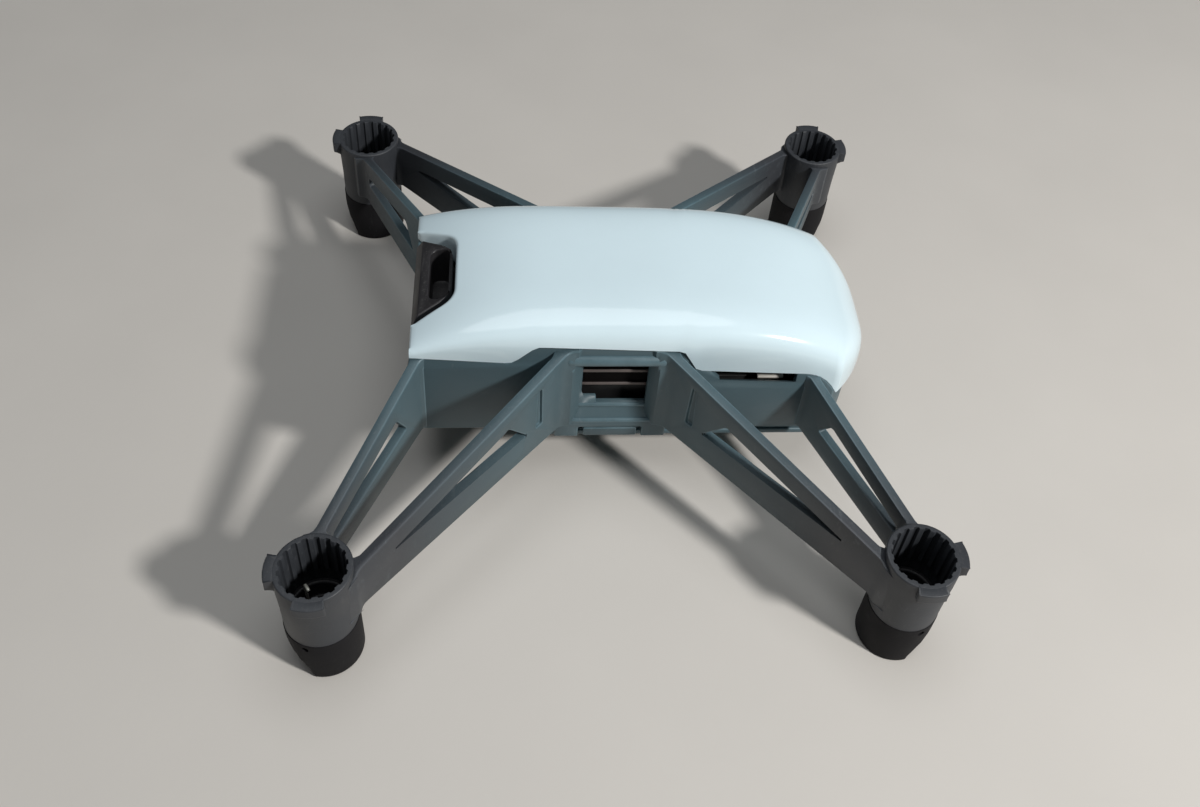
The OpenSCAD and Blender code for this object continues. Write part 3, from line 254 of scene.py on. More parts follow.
def soften(piece, width, segments=2, angle=32, worn=True):
    """Rounds the sharp edges that have room; if worn, the new faces take the second finish, on
    most pieces a lighter one: worn edges with a painted highlight.
    """
    if worn:
        fill_slots(piece, ("frame_grey", "frame_edge"))
    weights = piece.data.attributes.new("bevel_weight_edge", "FLOAT", "EDGE")
    weights.data.foreach_set("value", roomy_edges(piece.data, width, angle))
    modify(
        piece, "BEVEL", width=width, segments=segments, limit_method="WEIGHT",
        use_clamp_overlap=False, miter_outer="MITER_ARC", material=1 if worn else -1,
        loop_slide=True,
    )
    piece.data.attributes.remove(piece.data.attributes["bevel_weight_edge"])
    return piece


def roomy_edges(mesh, width, angle):
    """One for each edge sharper than the angle that has room beside it, else nought."""
    co = [v.co for v in mesh.vertices]
    normals, sharp, near = {}, {}, {}
    for f in mesh.polygons:
        for key in f.edge_keys:
            normals.setdefault(key, []).append(f.normal)
    for e in mesh.edges:
        sides = normals.get(e.key, ())
        sharp[e.key] = len(sides) == 2 and sides[0].angle(sides[1], 0.0) > math.radians(angle)
        for a, b in (e.key, e.key[::-1]):
            near.setdefault(a, []).append((b, sharp[e.key]))
    busy = {k for k, others in near.items() if any(hard for _, hard in others)}

    def room(k, end):
        along = (co[end] - co[k]).normalized()
        for far, hard in near[k]:
            away = co[far] - co[k]
            if far == end or (hard and abs(away.normalized().dot(along)) > IN_LINE):
                continue
            beside = (away - along * away.dot(along)).length
            if beside <= width * (ROOM_SHARED if far in busy else ROOM_ALONE):
                return False
        return True

    return [float(sharp[e.key] and room(*e.key) and room(*e.key[::-1])) for e in mesh.edges]


def round_edges(piece, width, segments, wanted):
    """Rounds the edges whose two ends pass the test."""
    select_edges(piece, lambda a, b: wanted(a.co, b.co))
    bpy.ops.mesh.bevel(offset=width, segments=segments, affect="EDGES")
    edges_done()


def cut(piece, tool):
    """Cuts the tool out of the piece and removes the tool."""
    modify(piece, "BOOLEAN", operation="DIFFERENCE", object=tool, solver="MANIFOLD")
    bpy.data.objects.remove(tool)
    return piece


def trim(piece, point, normal):
    """Takes off everything on the normal's side of a plane and closes the cut."""
    edit(piece)
    bpy.ops.mesh.bisect(
        plane_co=point, plane_no=normal, use_fill=True, clear_outer=True, threshold=0.0001
    )
    done()


def join(pieces):
    clear()
    for p in pieces:
        p.select_set(True)
    bpy.context.view_layer.objects.active = pieces[0]
    bpy.ops.object.join()
    return pieces[0]


def place(piece, points):
    piece.data.vertices.foreach_set("co", np.asarray(points, float).ravel())
    piece.data.update()


def points_of(piece):
    co = np.empty(len(piece.data.vertices) * 3)
    piece.data.vertices.foreach_get("co", co)
    return co.reshape(-1, 3)


def new_object(name, data):
    made = bpy.data.objects.new(name, data)
    bpy.context.scene.collection.objects.link(made)
    return made


def rescale(piece, factor):
    """Scales a piece's mesh from the origin."""
    piece.scale = (factor,) * 3
    only(piece)
    bpy.ops.object.transform_apply(scale=True)


def slab(low, high):
    """Block from one corner to the other."""
    clear()
    low, high = Vector(low), Vector(high)
    bpy.ops.mesh.primitive_cube_add(size=1, location=(low + high) / 2)
    bpy.ops.transform.resize(value=high - low)
    bpy.ops.object.transform_apply(location=True, scale=True)
    return bpy.context.object


def rod(radius, depth, steps, centre=(0, 0, 0), lying=True):
    """Round rod, lying along x or upright."""
    clear()
    bpy.ops.mesh.primitive_cylinder_add(
        vertices=steps, radius=radius, depth=depth, location=centre,
        rotation=(0, math.pi / 2 if lying else 0, 0),
    )
    bpy.ops.object.transform_apply(location=True, rotation=True)
    return bpy.context.object


def grid(across, along):
    """Flat grid, and for each vertex its place from 0 to 1 across and along."""
    clear()
    bpy.ops.mesh.primitive_grid_add(x_subdivisions=across, y_subdivisions=along, size=2)
    piece = bpy.context.object
    uv = (points_of(piece)[:, :2] + 1) / 2
    return piece, uv[:, 0], uv[:, 1]


def lathe(profile, steps, close):
    """Turns rings of radius and height round the front left tube's axis; may close the ends."""
    clear()
    r, z = profile[0]
    bpy.ops.mesh.primitive_circle_add(vertices=steps, radius=r, location=(TUBE_X, TUBE_Y, z))
    bpy.ops.object.transform_apply(location=True)
    piece = bpy.context.object
    edit(piece)
    for r2, z2 in profile[1:]:
        wider = (r2 / r, r2 / r, 1)
        bpy.ops.mesh.extrude_region_move(TRANSFORM_OT_translate={"value": (0, 0, z2 - z)})
        bpy.ops.transform.resize(value=wider, center_override=(TUBE_X, TUBE_Y, z2))
        r, z = r2, z2
    done()
    if close:
        edit(piece)
        bpy.ops.mesh.remove_doubles(threshold=0.0005)
        open_edges(piece)
        bpy.ops.mesh.edge_face_add()
        edges_done()
    return settle_mesh(piece)


def open_edges(piece):
    """Goes into edit mode with the mesh's open edges selected."""
    edit(piece, "DESELECT")
    bpy.ops.mesh.select_mode(type="EDGE")
    bpy.ops.mesh.select_non_manifold()


def node_copy(node):
    """Copy of a CAD node, in millimetres, with each flat face in one piece."""
    piece = new_object("copy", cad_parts[node].data.copy())
    piece.data.materials.clear()
    rescale(piece, 1 / MM)
    edit(piece)
    bpy.ops.mesh.remove_doubles(threshold=0.002)
    bpy.ops.mesh.dissolve_limited(angle_limit=math.radians(0.6), use_dissolve_boundaries=False)
    done()
    return piece


def mirrored(piece, front, left):
    """Copy of a front left piece for a corner, with its own mesh."""
    copy = new_object(piece.name, piece.data.copy())
    if (front, left) != (1, 1):
        edit(copy)
        bpy.ops.transform.resize(value=(front, left, 1), center_override=(0, 0, 0))
        if front * left < 0:
            bpy.ops.mesh.flip_normals()
        done()
    return copy


def fill_slots(piece, finishes):
    """Gives a piece these finishes and no other, its faces keeping their numbers."""
    slots = piece.data.materials
    for k, f in enumerate(finishes):
        if k == len(slots):
            slots.append(None)
        slots[k] = bpy.data.materials[finish_name(f)]
    while len(slots) > len(finishes):
        slots.pop()


def finish(piece, name, body, slot, node, *finishes, angle=38):
    """Gives a piece its name, finishes, shading and body, instead of a node."""
    if not piece.data.polygons:
        raise RuntimeError(f"{name} has no faces")
    piece.name = piece.data.name = name
    rescale(piece, MM)
    bpy.ops.object.shade_smooth_by_angle(angle=math.radians(angle))
    fill_slots(piece, finishes)
    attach(piece, body)
    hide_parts(node)


def at_corners(shape, name, node, slot, *finishes, angle=38):
    """Mirrors a front left shape to all corners, each piece instead of its node."""
    for corner, signs in CORNERS.items():
        piece = mirrored(shape, *signs)
        finish(piece, name + corner, "airframe", slot, node + corner, *finishes, angle=angle)
    bpy.data.objects.remove(shape)


# ------------ finishes

# Span of the distance from the middle, in metres, over which the frame's grey darkens: painted
# shade, growing towards the tubes at the sides
OUTER_SHADE_SPAN = (0.020, 0.038)
SPECK_SCALE, SPECK_SPAN, UP_SPAN = 2600.0, (0.56, 0.72), (0.3, 1.0)
PATCH_SCALE, PATCH_SPAN, STREAK_SPAN = 90.0, (0.45, 0.65), (0.58, 0.75)
STREAK_TURN, STREAK_STRETCH = (0.5, 0.3, 0.8), (6.0, 0.6, 2.0)
DUST_TONE, RUB_TONE, RUB_SHARE, RUB_DARKER, RUB_GLOSS = (0.55, 0.53, 0.50), 0.6, 0.25, 0.9, 0.15


def add(tree, kind, inputs=(), **settings):
    """New shader node with its settings, and each input set to a value or linked to an output."""
    n = tree.nodes.new("ShaderNode" + kind)
    for key, value in settings.items():
        setattr(n, key, value)
    for socket, value in dict(inputs).items():
        if isinstance(value, bpy.types.NodeSocket):
            tree.links.new(value, n.inputs[socket])
        else:
            n.inputs[socket].default_value = value
    return n


def node_group(name, inputs, outputs):
    """Empty shader node group with named number sockets."""
    tree = bpy.data.node_groups.new(name, "ShaderNodeTree")
    for label, default in inputs.items():
        socket = tree.interface.new_socket(label, in_out="INPUT", socket_type="NodeSocketFloat")
        socket.default_value = default
    for label in outputs:
        tree.interface.new_socket(label, in_out="OUTPUT", socket_type="NodeSocketFloat")
    return tree, tree.nodes.new("NodeGroupInput").outputs, tree.nodes.new("NodeGroupOutput").inputs


def noise(tree, vector, scale, detail, rough):
    inputs = {"Vector": vector, "Scale": scale, "Detail": detail, "Roughness": rough}
    return add(tree, "TexNoise", inputs).outputs["Fac"]


def remap(tree, value, low, high, to_low=0.0, to_high=1.0):
    return add(tree, "MapRange", {
        "Value": value, "From Min": low, "From Max": high, "To Min": to_low, "To Max": to_high
    }).outputs["Result"]


def math_node(tree, how, a, b):
    return add(tree, "Math", {0: a, 1: b}, operation=how).outputs[0]


def parts_of(tree, vector):
    return add(tree, "SeparateXYZ", {0: vector}).outputs


def surface_group():
    """Moulded surface: grain, mottle, dust on faces that look up, and reach to the sides for
    painted shade.
    """
    tree, given, made = node_group(
        "moulded_surface", {"Grain Scale": 6000.0, "Mottle Scale": 160.0},
        ("Grain", "Mottle", "Dust", "Outer"),
    )
    place_in = add(tree, "TexCoord").outputs["Object"]
    mottle = noise(tree, place_in, given["Mottle Scale"], 4.0, 0.55)
    specks = noise(tree, place_in, SPECK_SCALE, 2.0, 0.7)
    normal = add(tree, "NewGeometry").outputs["Normal"]
    up = remap(tree, parts_of(tree, normal)["Z"], *UP_SPAN)
    # Painted shade: reach to the sides, over which the frame darkens towards the tubes
    aside = math_node(tree, "ABSOLUTE", parts_of(tree, place_in)["Y"], 0.0)
    for label, value in {
        "Grain": noise(tree, place_in, given["Grain Scale"], 2.0, 0.6),
        "Mottle": remap(tree, mottle, 0.3, 0.7),
        "Dust": math_node(tree, "MULTIPLY", up, remap(tree, specks, *SPECK_SPAN)),
        "Outer": remap(tree, aside, *OUTER_SHADE_SPAN),
    }.items():
        tree.links.new(value, made[label])


def scuff_group():
    """Thin wandering rub marks, as a mask."""
    tree, given, made = node_group("rub_marks", {"Scale": 300.0}, ("Marks",))
    place_in = add(tree, "TexCoord").outputs["Object"]
    stretched = add(tree, "Mapping", {
        "Vector": place_in, "Rotation": STREAK_TURN, "Scale": STREAK_STRETCH
    }).outputs["Vector"]
    streaks = noise(tree, stretched, given["Scale"], 3.0, 0.6)
    patches = noise(tree, place_in, PATCH_SCALE, 2.0, 0.5)
    streaks, patches = remap(tree, streaks, *STREAK_SPAN), remap(tree, patches, *PATCH_SPAN)
    tree.links.new(math_node(tree, "MULTIPLY", streaks, patches), made["Marks"])


def mix_colour(tree, factor, a, b, share=1.0):
    """Mixes two colours by a factor, of which only a share may count."""
    if share != 1.0:
        factor = math_node(tree, "MULTIPLY", factor, share)
    a, b = ((*c, 1.0) if isinstance(c, tuple) else c for c in (a, b))
    return add(tree, "Mix", {0: factor, 6: a, 7: b}, data_type="RGBA").outputs[2]


def finish_name(name):
    """Name of a finish, apart from the materials that come with the solids."""
    return "finish_" + name


def shade(base, factor):
    return tuple(min(1.0, c * factor) for c in base)


def make_finish(name, base, spread, rough, grain, mottle, dust, marks, outer, even):
    """Procedural finish: mottled colour with rub marks and dust, uneven gloss, fine grain, and
    painted shade to the sides if an outer colour is given.
    """
    material = bpy.data.materials.new(finish_name(name))
    material.use_nodes = True
    material.diffuse_color = (*base, 1.0)
    tree = material.node_tree
    groups = bpy.data.node_groups
    scales = {"Grain Scale": grain[0], "Mottle Scale": mottle}
    surface = add(tree, "Group", scales, node_tree=groups["moulded_surface"]).outputs
    tone = mix_colour(tree, surface["Mottle"], shade(base, 1 - spread), shade(base, 1 + spread))
    # Painted shade: the colour darkens towards the outer colour further to the sides
    if outer:
        tone = mix_colour(tree, surface["Outer"], tone, outer)
    gloss = remap(tree, surface["Mottle"], 0.0, 1.0, *rough)
    if marks:
        rub = add(tree, "Group", node_tree=groups["rub_marks"]).outputs["Marks"]
        worn = tuple(
            c + RUB_SHARE * (RUB_TONE - c) if c < RUB_TONE else RUB_DARKER * c for c in base
        )
        tone = mix_colour(tree, rub, tone, worn, marks)
        duller = math_node(tree, "MULTIPLY", rub, RUB_GLOSS * marks)
        gloss = math_node(tree, "ADD", gloss, duller)
    if dust:
        tone = mix_colour(tree, surface["Dust"], tone, DUST_TONE, dust)
    height = {"Strength": 1.0, "Distance": grain[1], "Height": surface["Grain"]}
    bump = add(tree, "Bump", height).outputs["Normal"]
    shader = tree.nodes["Principled BSDF"].inputs
    for socket, value in (("Base Color", tone), ("Roughness", gloss), ("Normal", bump)):
        tree.links.new(value, shader[socket])
    for socket, value in even.items():
        shader[socket].default_value = value


def make_finishes():
    """All finishes of the object and the floor."""
    surface_group()
    scuff_group()
    colours = bpy.context.scene.drone_colours
    grey, tube, foot, white, black, green, brown, pale = (
        tuple(getattr(colours, key)) for key in DroneColours.__annotations__
    )
    rows = {
        # colour, its spread, gloss from and to, grain scale and depth, mottle scale, dust, marks
        "frame_grey": (grey, 0.07, (0.42, 0.55), (5200, 1.4e-5), 120, 0.05, 0.25),
        # Edge finishes are lighter than their faces: worn edges with a painted highlight
        "frame_edge": (shade(grey, 1.35), 0.12, (0.34, 0.46), (5200, 8e-6), 420, 0.0, 0.5),
        # Painted shade: the tubes' own grey, darker than the frame's to stand for the shade on
        # them and in their bores
        "tube_grey": (tube, 0.1, (0.45, 0.6), (4800, 1.8e-5), 160, 0.04, 0.25),
        "button_grey": (shade(grey, 0.8), 0.06, (0.36, 0.46), (5200, 1e-5), 260, 0.03, 0.2),
        "foot_dark": (foot, 0.14, (0.6, 0.75), (4200, 2.2e-5), 200, 0.03, 0.1),
        # Lighter rounded edges of the feet: wear with a painted highlight
        "foot_edge": (shade(foot, 1.5), 0.2, (0.5, 0.65), (4200, 1.6e-5), 500, 0.0, 0.4),
        "cover_white": (white, 0.02, (0.10, 0.15), (900, 1e-6), 60, 0.03, 0.05),
        "nose_black": (black, 0.15, (0.38, 0.5), (5000, 1.2e-5), 180, 0.08, 0.2),
        # Lighter rounded edges of the nose: wear with a painted highlight
        "nose_edge": (shade(black, 1.4), 0.2, (0.32, 0.44), (5000, 8e-6), 500, 0.0, 0.4),
        "inner_black": ((0.017, 0.017, 0.018), 0.2, (0.5, 0.65), (3600, 1.6e-5), 220, 0.06, 0.2),
        "dark_glass": ((0.008, 0.008, 0.011), 0.1, (0.04, 0.09), (2000, 4e-7), 90, 0.02, 0.0),
        "lamp_clear": ((0.80, 0.83, 0.78), 0.05, (0.12, 0.2), (2400, 1e-6), 400, 0.02, 0.0),
        "board_green": (green, 0.15, (0.3, 0.42), (2400, 6e-6), 380, 0.04, 0.1),
        "shield_metal": ((0.62, 0.62, 0.60), 0.06, (0.26, 0.4), (3000, 5e-6), 240, 0.03, 0.4),
        # Painted shade: near-black with little shine for the heat sink's faces that don't look out
        "fin_shadow": ((0.005, 0.004, 0.004), 0.2, (0.7, 0.85), (4800, 1e-5), 260, 0.01, 0.1),
        "fin_brown": (brown, 0.2, (0.42, 0.56), (4800, 1e-5), 400, 0.0, 0.4),
        "contact_gold": ((0.80, 0.58, 0.24), 0.08, (0.2, 0.34), (2800, 5e-6), 500, 0.0, 0.4),
        "antenna_white": ((0.72, 0.70, 0.64), 0.06, (0.35, 0.5), (3200, 6e-6), 400, 0.03, 0.2),
        "socket_cream": ((0.68, 0.63, 0.52), 0.05, (0.35, 0.48), (3600, 8e-6), 300, 0.04, 0.1),
        "lead_metal": ((0.80, 0.79, 0.70), 0.08, (0.24, 0.38), (5200, 6e-6), 700, 0.0, 0.3),
        "screw_steel": ((0.50, 0.50, 0.51), 0.08, (0.25, 0.38), (4200, 7e-6), 600, 0.0, 0.5),
        "battery_grey": ((0.085, 0.092, 0.1), 0.08, (0.45, 0.6), (4600, 1.4e-5), 140, 0.05, 0.3),
        # Lighter rounded edges of the battery: wear with a painted highlight
        "battery_edge": ((0.12, 0.128, 0.136), 0.1, (0.38, 0.5), (4600, 8e-6), 420, 0.0, 0.5),
        "floor_pale": (pale, 0.015, (0.55, 0.65), (900, 1e-5), 30, 0.0, 0.0),
    }
    # Painted shade: the frame's grey and its edges darken towards the tubes' grey at the sides
    outer = {"frame_grey": shade(tube, 1.15), "frame_edge": shade(tube, 1.5)}
    full = {"Metallic": 1.0}
    even = {
        "foot_dark": {"Specular IOR Level": 0.15}, "fin_shadow": {"Specular IOR Level": 0.05},
        "cover_white": {"Coat Weight": 0.15, "Coat Roughness": 0.06},
        "dark_glass": {"Coat Weight": 0.6, "Coat Roughness": 0.03},
        "board_green": {"Coat Weight": 0.3, "Coat Roughness": 0.1},
        "lamp_clear": {"Transmission Weight": 0.35, "IOR": 1.49},
        "shield_metal": full, "contact_gold": full, "screw_steel": full,
        "lead_metal": {"Metallic": 0.3},
    }
    for name, row in rows.items():
        make_finish(name, *row, outer.get(name), even.get(name, {}))


# ------------ cover

def cover_half(x):
    """Half width of the cover, which narrows over the bowed rear."""
    return COVER_HALF * clamp01((x - COVER_REAR) / TAIL_L) ** TAIL_BOW


def cover_crown(x):
    if x > CROWN_X:
        return CROWN_Z - CROWN_FALL * ((x - CROWN_X) / (COVER_FRONT - CROWN_X)) ** 3
    back = (CROWN_X - x) / (CROWN_X - COVER_REAR)
    return TAIL_Z + (CROWN_Z - TAIL_Z) * math.sqrt(max(0.0, 1 - back ** 3))


def cover_spring(x):
    """Height where the cross section starts to round over."""
    back = clamp01((SPRING_X - x) / (SPRING_X - COVER_REAR))
    fore = clamp01((x - CROWN_X) / (COVER_FRONT - CROWN_X))
    return SPRING_Z - SPRING_FALL * ease(back) + SPRING_RISE * ease(fore)


# Cover's lower edge, from the front: place, height, and the way there from the place before
COVER_EDGE = (
    (COVER_FRONT, 27.1, None), (15.6, 26.0, float), (11.0, 29.2, ease), (-9.2, 28.4, float),
    (-12.2, 24.3, ease), (-26.6, 23.6, float), (-33.6, 19.0, lambda t: t ** 3),
)


def cover_edge(x):
    """Height of the cover's stepped lower edge."""
    for (fore, high, _), (rear, low, way) in zip(COVER_EDGE, COVER_EDGE[1:]):
        if x > rear:
            return high + (low - high) * way((fore - x) / (fore - rear))
    return low


def cover_section(x, shares):
    """Half cross section at x: points at shares of the way from the crown to the lower edge."""
    low, edge, width = cover_spring(x), cover_edge(x), cover_half(x)
    rise = max(0.002, cover_crown(x) - low)
    last = math.asin(clamp01((edge - low) / rise) ** (1 / SQUARE))
    a = np.linspace(math.pi / 2, last, 260)
    y, z = width * np.abs(np.cos(a)) ** SQUARE, low + rise * np.sin(a) ** SQUARE
    y[0] = 0.0
    if last < 1e-6:
        drop = np.linspace(low, edge, 30)[1:]
        y, z = np.append(y, np.full(len(drop), width)), np.append(z, drop)
    run = np.concatenate([[0], np.cumsum(np.hypot(np.diff(y), np.diff(z)))])
    run /= max(run[-1], 1e-9)
    return np.interp(shares, run, y), np.interp(shares, run, z)


def notch_outline():
    """Half plan of the notch: x of its edge for a distance from the middle."""
    side = Vector((COVER_FRONT - NOTCH_X, NOTCH_TIP - NOTCH_BASE)).normalized()
    corner = Vector((NOTCH_X, NOTCH_BASE))
    start, end = corner - Vector((0, NOTCH_ROUND)), corner + side * NOTCH_ROUND
    steps = [k / 24 for k in range(25)]
    arc = [(1 - s) ** 2 * start + 2 * s * (1 - s) * corner + s * s * end for s in steps]
    xs, ys = zip((NOTCH_X, 0.0), *arc, (COVER_FRONT, NOTCH_TIP))
    return ys, xs


def cover_rows(half, stations):
    """Points of half the outer sheet, in rows from the tail to the notch or a prong's front."""
    ys = np.array([cover_section(x, half)[0] for x in stations])
    notch_y, notch_x = notch_outline()
    rows = np.zeros((len(half), len(stations), 3))
    for i in range(len(half)):
        front = COVER_FRONT
        if i <= INNER_ROWS:
            for _ in range(12):
                y = np.interp(front, stations, ys[:, i])
                front = float(np.interp(y, notch_y, notch_x))
        past = stations - STRETCH_FROM
        stretch = (front - STRETCH_FROM) / (COVER_FRONT - STRETCH_FROM)
        x = np.where(past < 0, stations, STRETCH_FROM + past * stretch)
        sampled = [cover_section(v, half[i:i + 1]) for v in x]
        rows[i] = [(v, y[0], z[0]) for v, (y, z) in zip(x, sampled)]
    return rows


def drop_walls(piece, points, front):
    """Draws the front edge down as the notch's leaning walls and the prongs' faces."""
    select_edges(piece, lambda a, b: front[a.index] and front[b.index])
    for _ in range(WALL_STEPS):
        bpy.ops.mesh.extrude_region_move(TRANSFORM_OT_translate={"value": (0, 0, -WALL_STEP)})
    edges_done()
    co = points_of(piece)
    above = {tuple(np.round(co[k, :2], 5)): k for k in np.flatnonzero(front)}
    for k in range(len(points), len(co)):
        x, y, z = points[above[tuple(np.round(co[k, :2], 5))]]
        level = round((z - co[k, 2]) / WALL_STEP)
        drop = max(0.0, z - cover_edge(x)) * (level / WALL_STEPS)
        lean = drop / WALL_LEAN if x < COVER_FRONT - 1e-3 else 0.0
        side = clamp01((abs(y) - NOTCH_FLAT) / NOTCH_TURN)
        co[k] = x + BASE_LEAN * lean * (1 - side), y - math.copysign(lean * side, y), z - drop
    place(piece, co)


def cover_shell():
    """Outer sheet of the cover with its notch walls, given thickness."""
    shares = np.linspace(0, 1, 400)
    tip = float(np.interp(NOTCH_TIP, cover_section(COVER_FRONT, shares)[0], shares))
    half = np.concatenate([
        np.linspace(0, tip, INNER_ROWS + 1), np.linspace(tip, 1, OUTER_ROWS + 1)[1:]
    ])
    tail = np.linspace(0, 1, TAIL_COLUMNS + 1) ** TAIL_CROWD
    tail = COVER_REAR + TAIL_GAP + TAIL_L * tail
    stations = np.concatenate([tail, np.linspace(tail[-1], COVER_FRONT, MAIN_COLUMNS + 1)[1:]])
    rows, columns = len(half) - 1, len(stations) - 1
    piece, u, v = grid(2 * rows, columns)
    across = np.rint(u * 2 * rows).astype(int) - rows
    station = np.rint(v * columns).astype(int)
    points = cover_rows(half, stations)[np.abs(across), station]
    points[:, 1] *= np.sign(across)
    place(piece, points)
    drop_walls(piece, points, station == columns)
    settle_mesh(piece, 0.0015)
    modify(
        piece, "SOLIDIFY", thickness=COVER_T, offset=-1.0, use_even_offset=True, use_rim=True,
        use_quality_normals=True,
    )
    return piece


def cover_tabs():
    """Small tabs that hang inside the cover's side and clip into the body."""
    tabs = []
    for x in CLIP_X:
        edge = cover_edge(x + CLIP_HALF)
        for side in (-1, 1):
            inner, outer = sorted(side * y for y in CLIP_Y)
            tab = slab(
                (x - CLIP_HALF, inner, edge - CLIP_DOWN), (x + CLIP_HALF, outer, edge + CLIP_UP)
            )
            tabs.append(soften(tab, CLIP_ROUND, worn=False))
    return tabs


def build_cover():
    shell = soften(cover_shell(), size("cover_round"), 3, 50, worn=False)
    piece = join([shell] + cover_tabs())
    finish(piece, "cover", "top_cover", "cover_white", "top_cover", "cover_white", angle=50)


# ------------ frame

def wall_at(z, shoulder):
    """Body side at a height: upright, then leaning in above the shoulder."""
    return HALF_W - SHOULDER_IN * max(0.0, z - shoulder) / (LEAN_TOP - shoulder)


def blend_out(gap, radius):
    """How far a face swells out at a distance from what it runs into."""
    short = radius - min(max(gap, 0.0), radius)
    return radius - math.sqrt(radius * radius - short * short)


def strut_blade(kind):
    """Slotted blade of the front left corner, swelling into the wall and the tube."""
    root_x, thick, offset, swing, tops, lows, shoulder, root_share, slot = STRUTS[kind]
    reach = math.hypot(TUBE_X - root_x, TUBE_Y - HALF_W)
    turn = math.atan2(TUBE_Y - HALF_W, TUBE_X - root_x) + swing * math.asin(offset / reach)
    run = math.sqrt(reach * reach - offset * offset)
    ahead = Vector((math.cos(turn), math.sin(turn), 0))
    aside = Vector((-math.sin(turn), math.cos(turn), 0))
    root = Vector((root_x, HALF_W, 0))

    def web(s, share):
        low, top = (a + (b - a) * s / run for a, b in (lows, tops))
        return low + (top - low) * share

    piece, u, v = grid(STRUT_SPAN, STRUT_ROWS)
    along = -STRUT_BEFORE + (run + STRUT_BEFORE) * (0.5 - 0.5 * np.cos(math.pi * u))
    place(piece, [(s, 0, web(s, h)) for s, h in zip(along, v)])
    settle_mesh(piece)
    modify(piece, "SOLIDIFY", thickness=thick, offset=0.0, use_rim=True)
    out = []
    for s, n, z in points_of(piece):
        side = 1 if n > 0 else -1
        n = 0.0 if side > 0 else -thick
        p = root + ahead * s + aside * n
        gap_wall = p.y - wall_at(z, shoulder)
        gap_tube = math.hypot(p.x - TUBE_X, p.y - TUBE_Y) - TUBE_R
        tip_room = TUBE_R - abs(offset if swing * side > 0 else offset - thick)
        swell = blend_out(gap_wall, size("root_blend") * root_share)
        swell += min(tip_room * TIP_SHARE, blend_out(gap_tube, size("tip_blend")))
        p += aside * side * swell
        out.append((p.x, p.y, z))
    place(piece, out)
    settle_mesh(piece)
    cut(piece, slot_tool(
        run, web, slot, lambda s, n: root + ahead * s + aside * (n - thick / 2)
    ))
    if kind == "mid":
        cut(piece, relief(root, ahead, aside))
    trim(piece, (0, WALL_INNER, 0), (0, -1, 0))
    cut(piece, rod(TUBE_R - TUBE_BITE, 60, 96, (TUBE_X, TUBE_Y, 0), lying=False))
    settle_mesh(piece)
    edit(piece)
    bpy.ops.mesh.dissolve_limited(angle_limit=math.radians(0.4))
    done()
    return soften(piece, size("edge_round"), 2, 40)


def slot_tool(run, web, slot, at):
    """Wedge that cuts a strut's slot, with rounded corners at its wide end."""
    start, slant, stop, level, height, tip_level, tip_height = slot
    stop = run - TUBE_R - stop
    tool = slab((0, -3, -0.5), (1, 3, 0.5))
    corners = []
    for x, n, z in points_of(tool):
        s = stop if x > 0.5 else start + (slant if z > 0 else 0)
        share = tip_level + z * tip_height if x > 0.5 else level + z * height
        corners.append((s, n, web(s, share)))
    place(tool, corners)
    narrow = tip_height * (web(stop, 1) - web(stop, 0)) < 2 * size("slot_round")
    round_edges(tool, size("slot_round"), 5, lambda a, b: (
        abs(a.y - b.y) > 1 and (a.x < start + slant + 0.1 or not narrow)
    ))
    place(tool, [at(s, n) + Vector((0, 0, z)) for s, n, z in points_of(tool)])
    return settle_mesh(tool)


def relief(root, ahead, aside):
    """Tool for the upright groove near an inner strut's root, wider at its foot."""
    tool = slab((-1, -0.5, RELIEF_LOW), (1, 0.4, RELIEF_HIGH))
    round_edges(tool, 0.5, 4, lambda a, b: abs(a.y - b.y) > 0.5 and a.z < RELIEF_LOW + 0.1)
    out = []
    for x, y, z in points_of(tool):
        half = RELIEF_W - RELIEF_NARROW * (z - RELIEF_LOW) / (RELIEF_HIGH - RELIEF_LOW)
        out.append(root + ahead * (RELIEF_AT + x * half) + aside * y + Vector((0, 0, z)))
    place(tool, out)
    return settle_mesh(tool)


def build_struts():
    shapes = {kind: strut_blade(kind) for kind in STRUTS}
    for corner, (front, left) in CORNERS.items():
        for end, kind in (("mid", "mid"), ("end", "fore_end" if front > 0 else "aft_end")):
            finish(
                mirrored(shapes[kind], front, left), f"blade_{corner}_{end}", "airframe",
                "frame_grey", f"strut_{corner}_{end}", "frame_grey", "frame_edge",
            )
    for shape in shapes.values():
        bpy.data.objects.remove(shape)


def around(radius, turn):
    """Place at a radius and turn from the front left tube's axis."""
    return TUBE_X + radius * math.cos(turn), TUBE_Y + radius * math.sin(turn)


def rounded(radius, top, r, turns):
    """Profile of an outer edge that is rounded from its side to its top."""
    arc = [math.radians(a) for a in turns]
    return [(radius - r + r * math.cos(a), top - r + r * math.sin(a)) for a in arc]


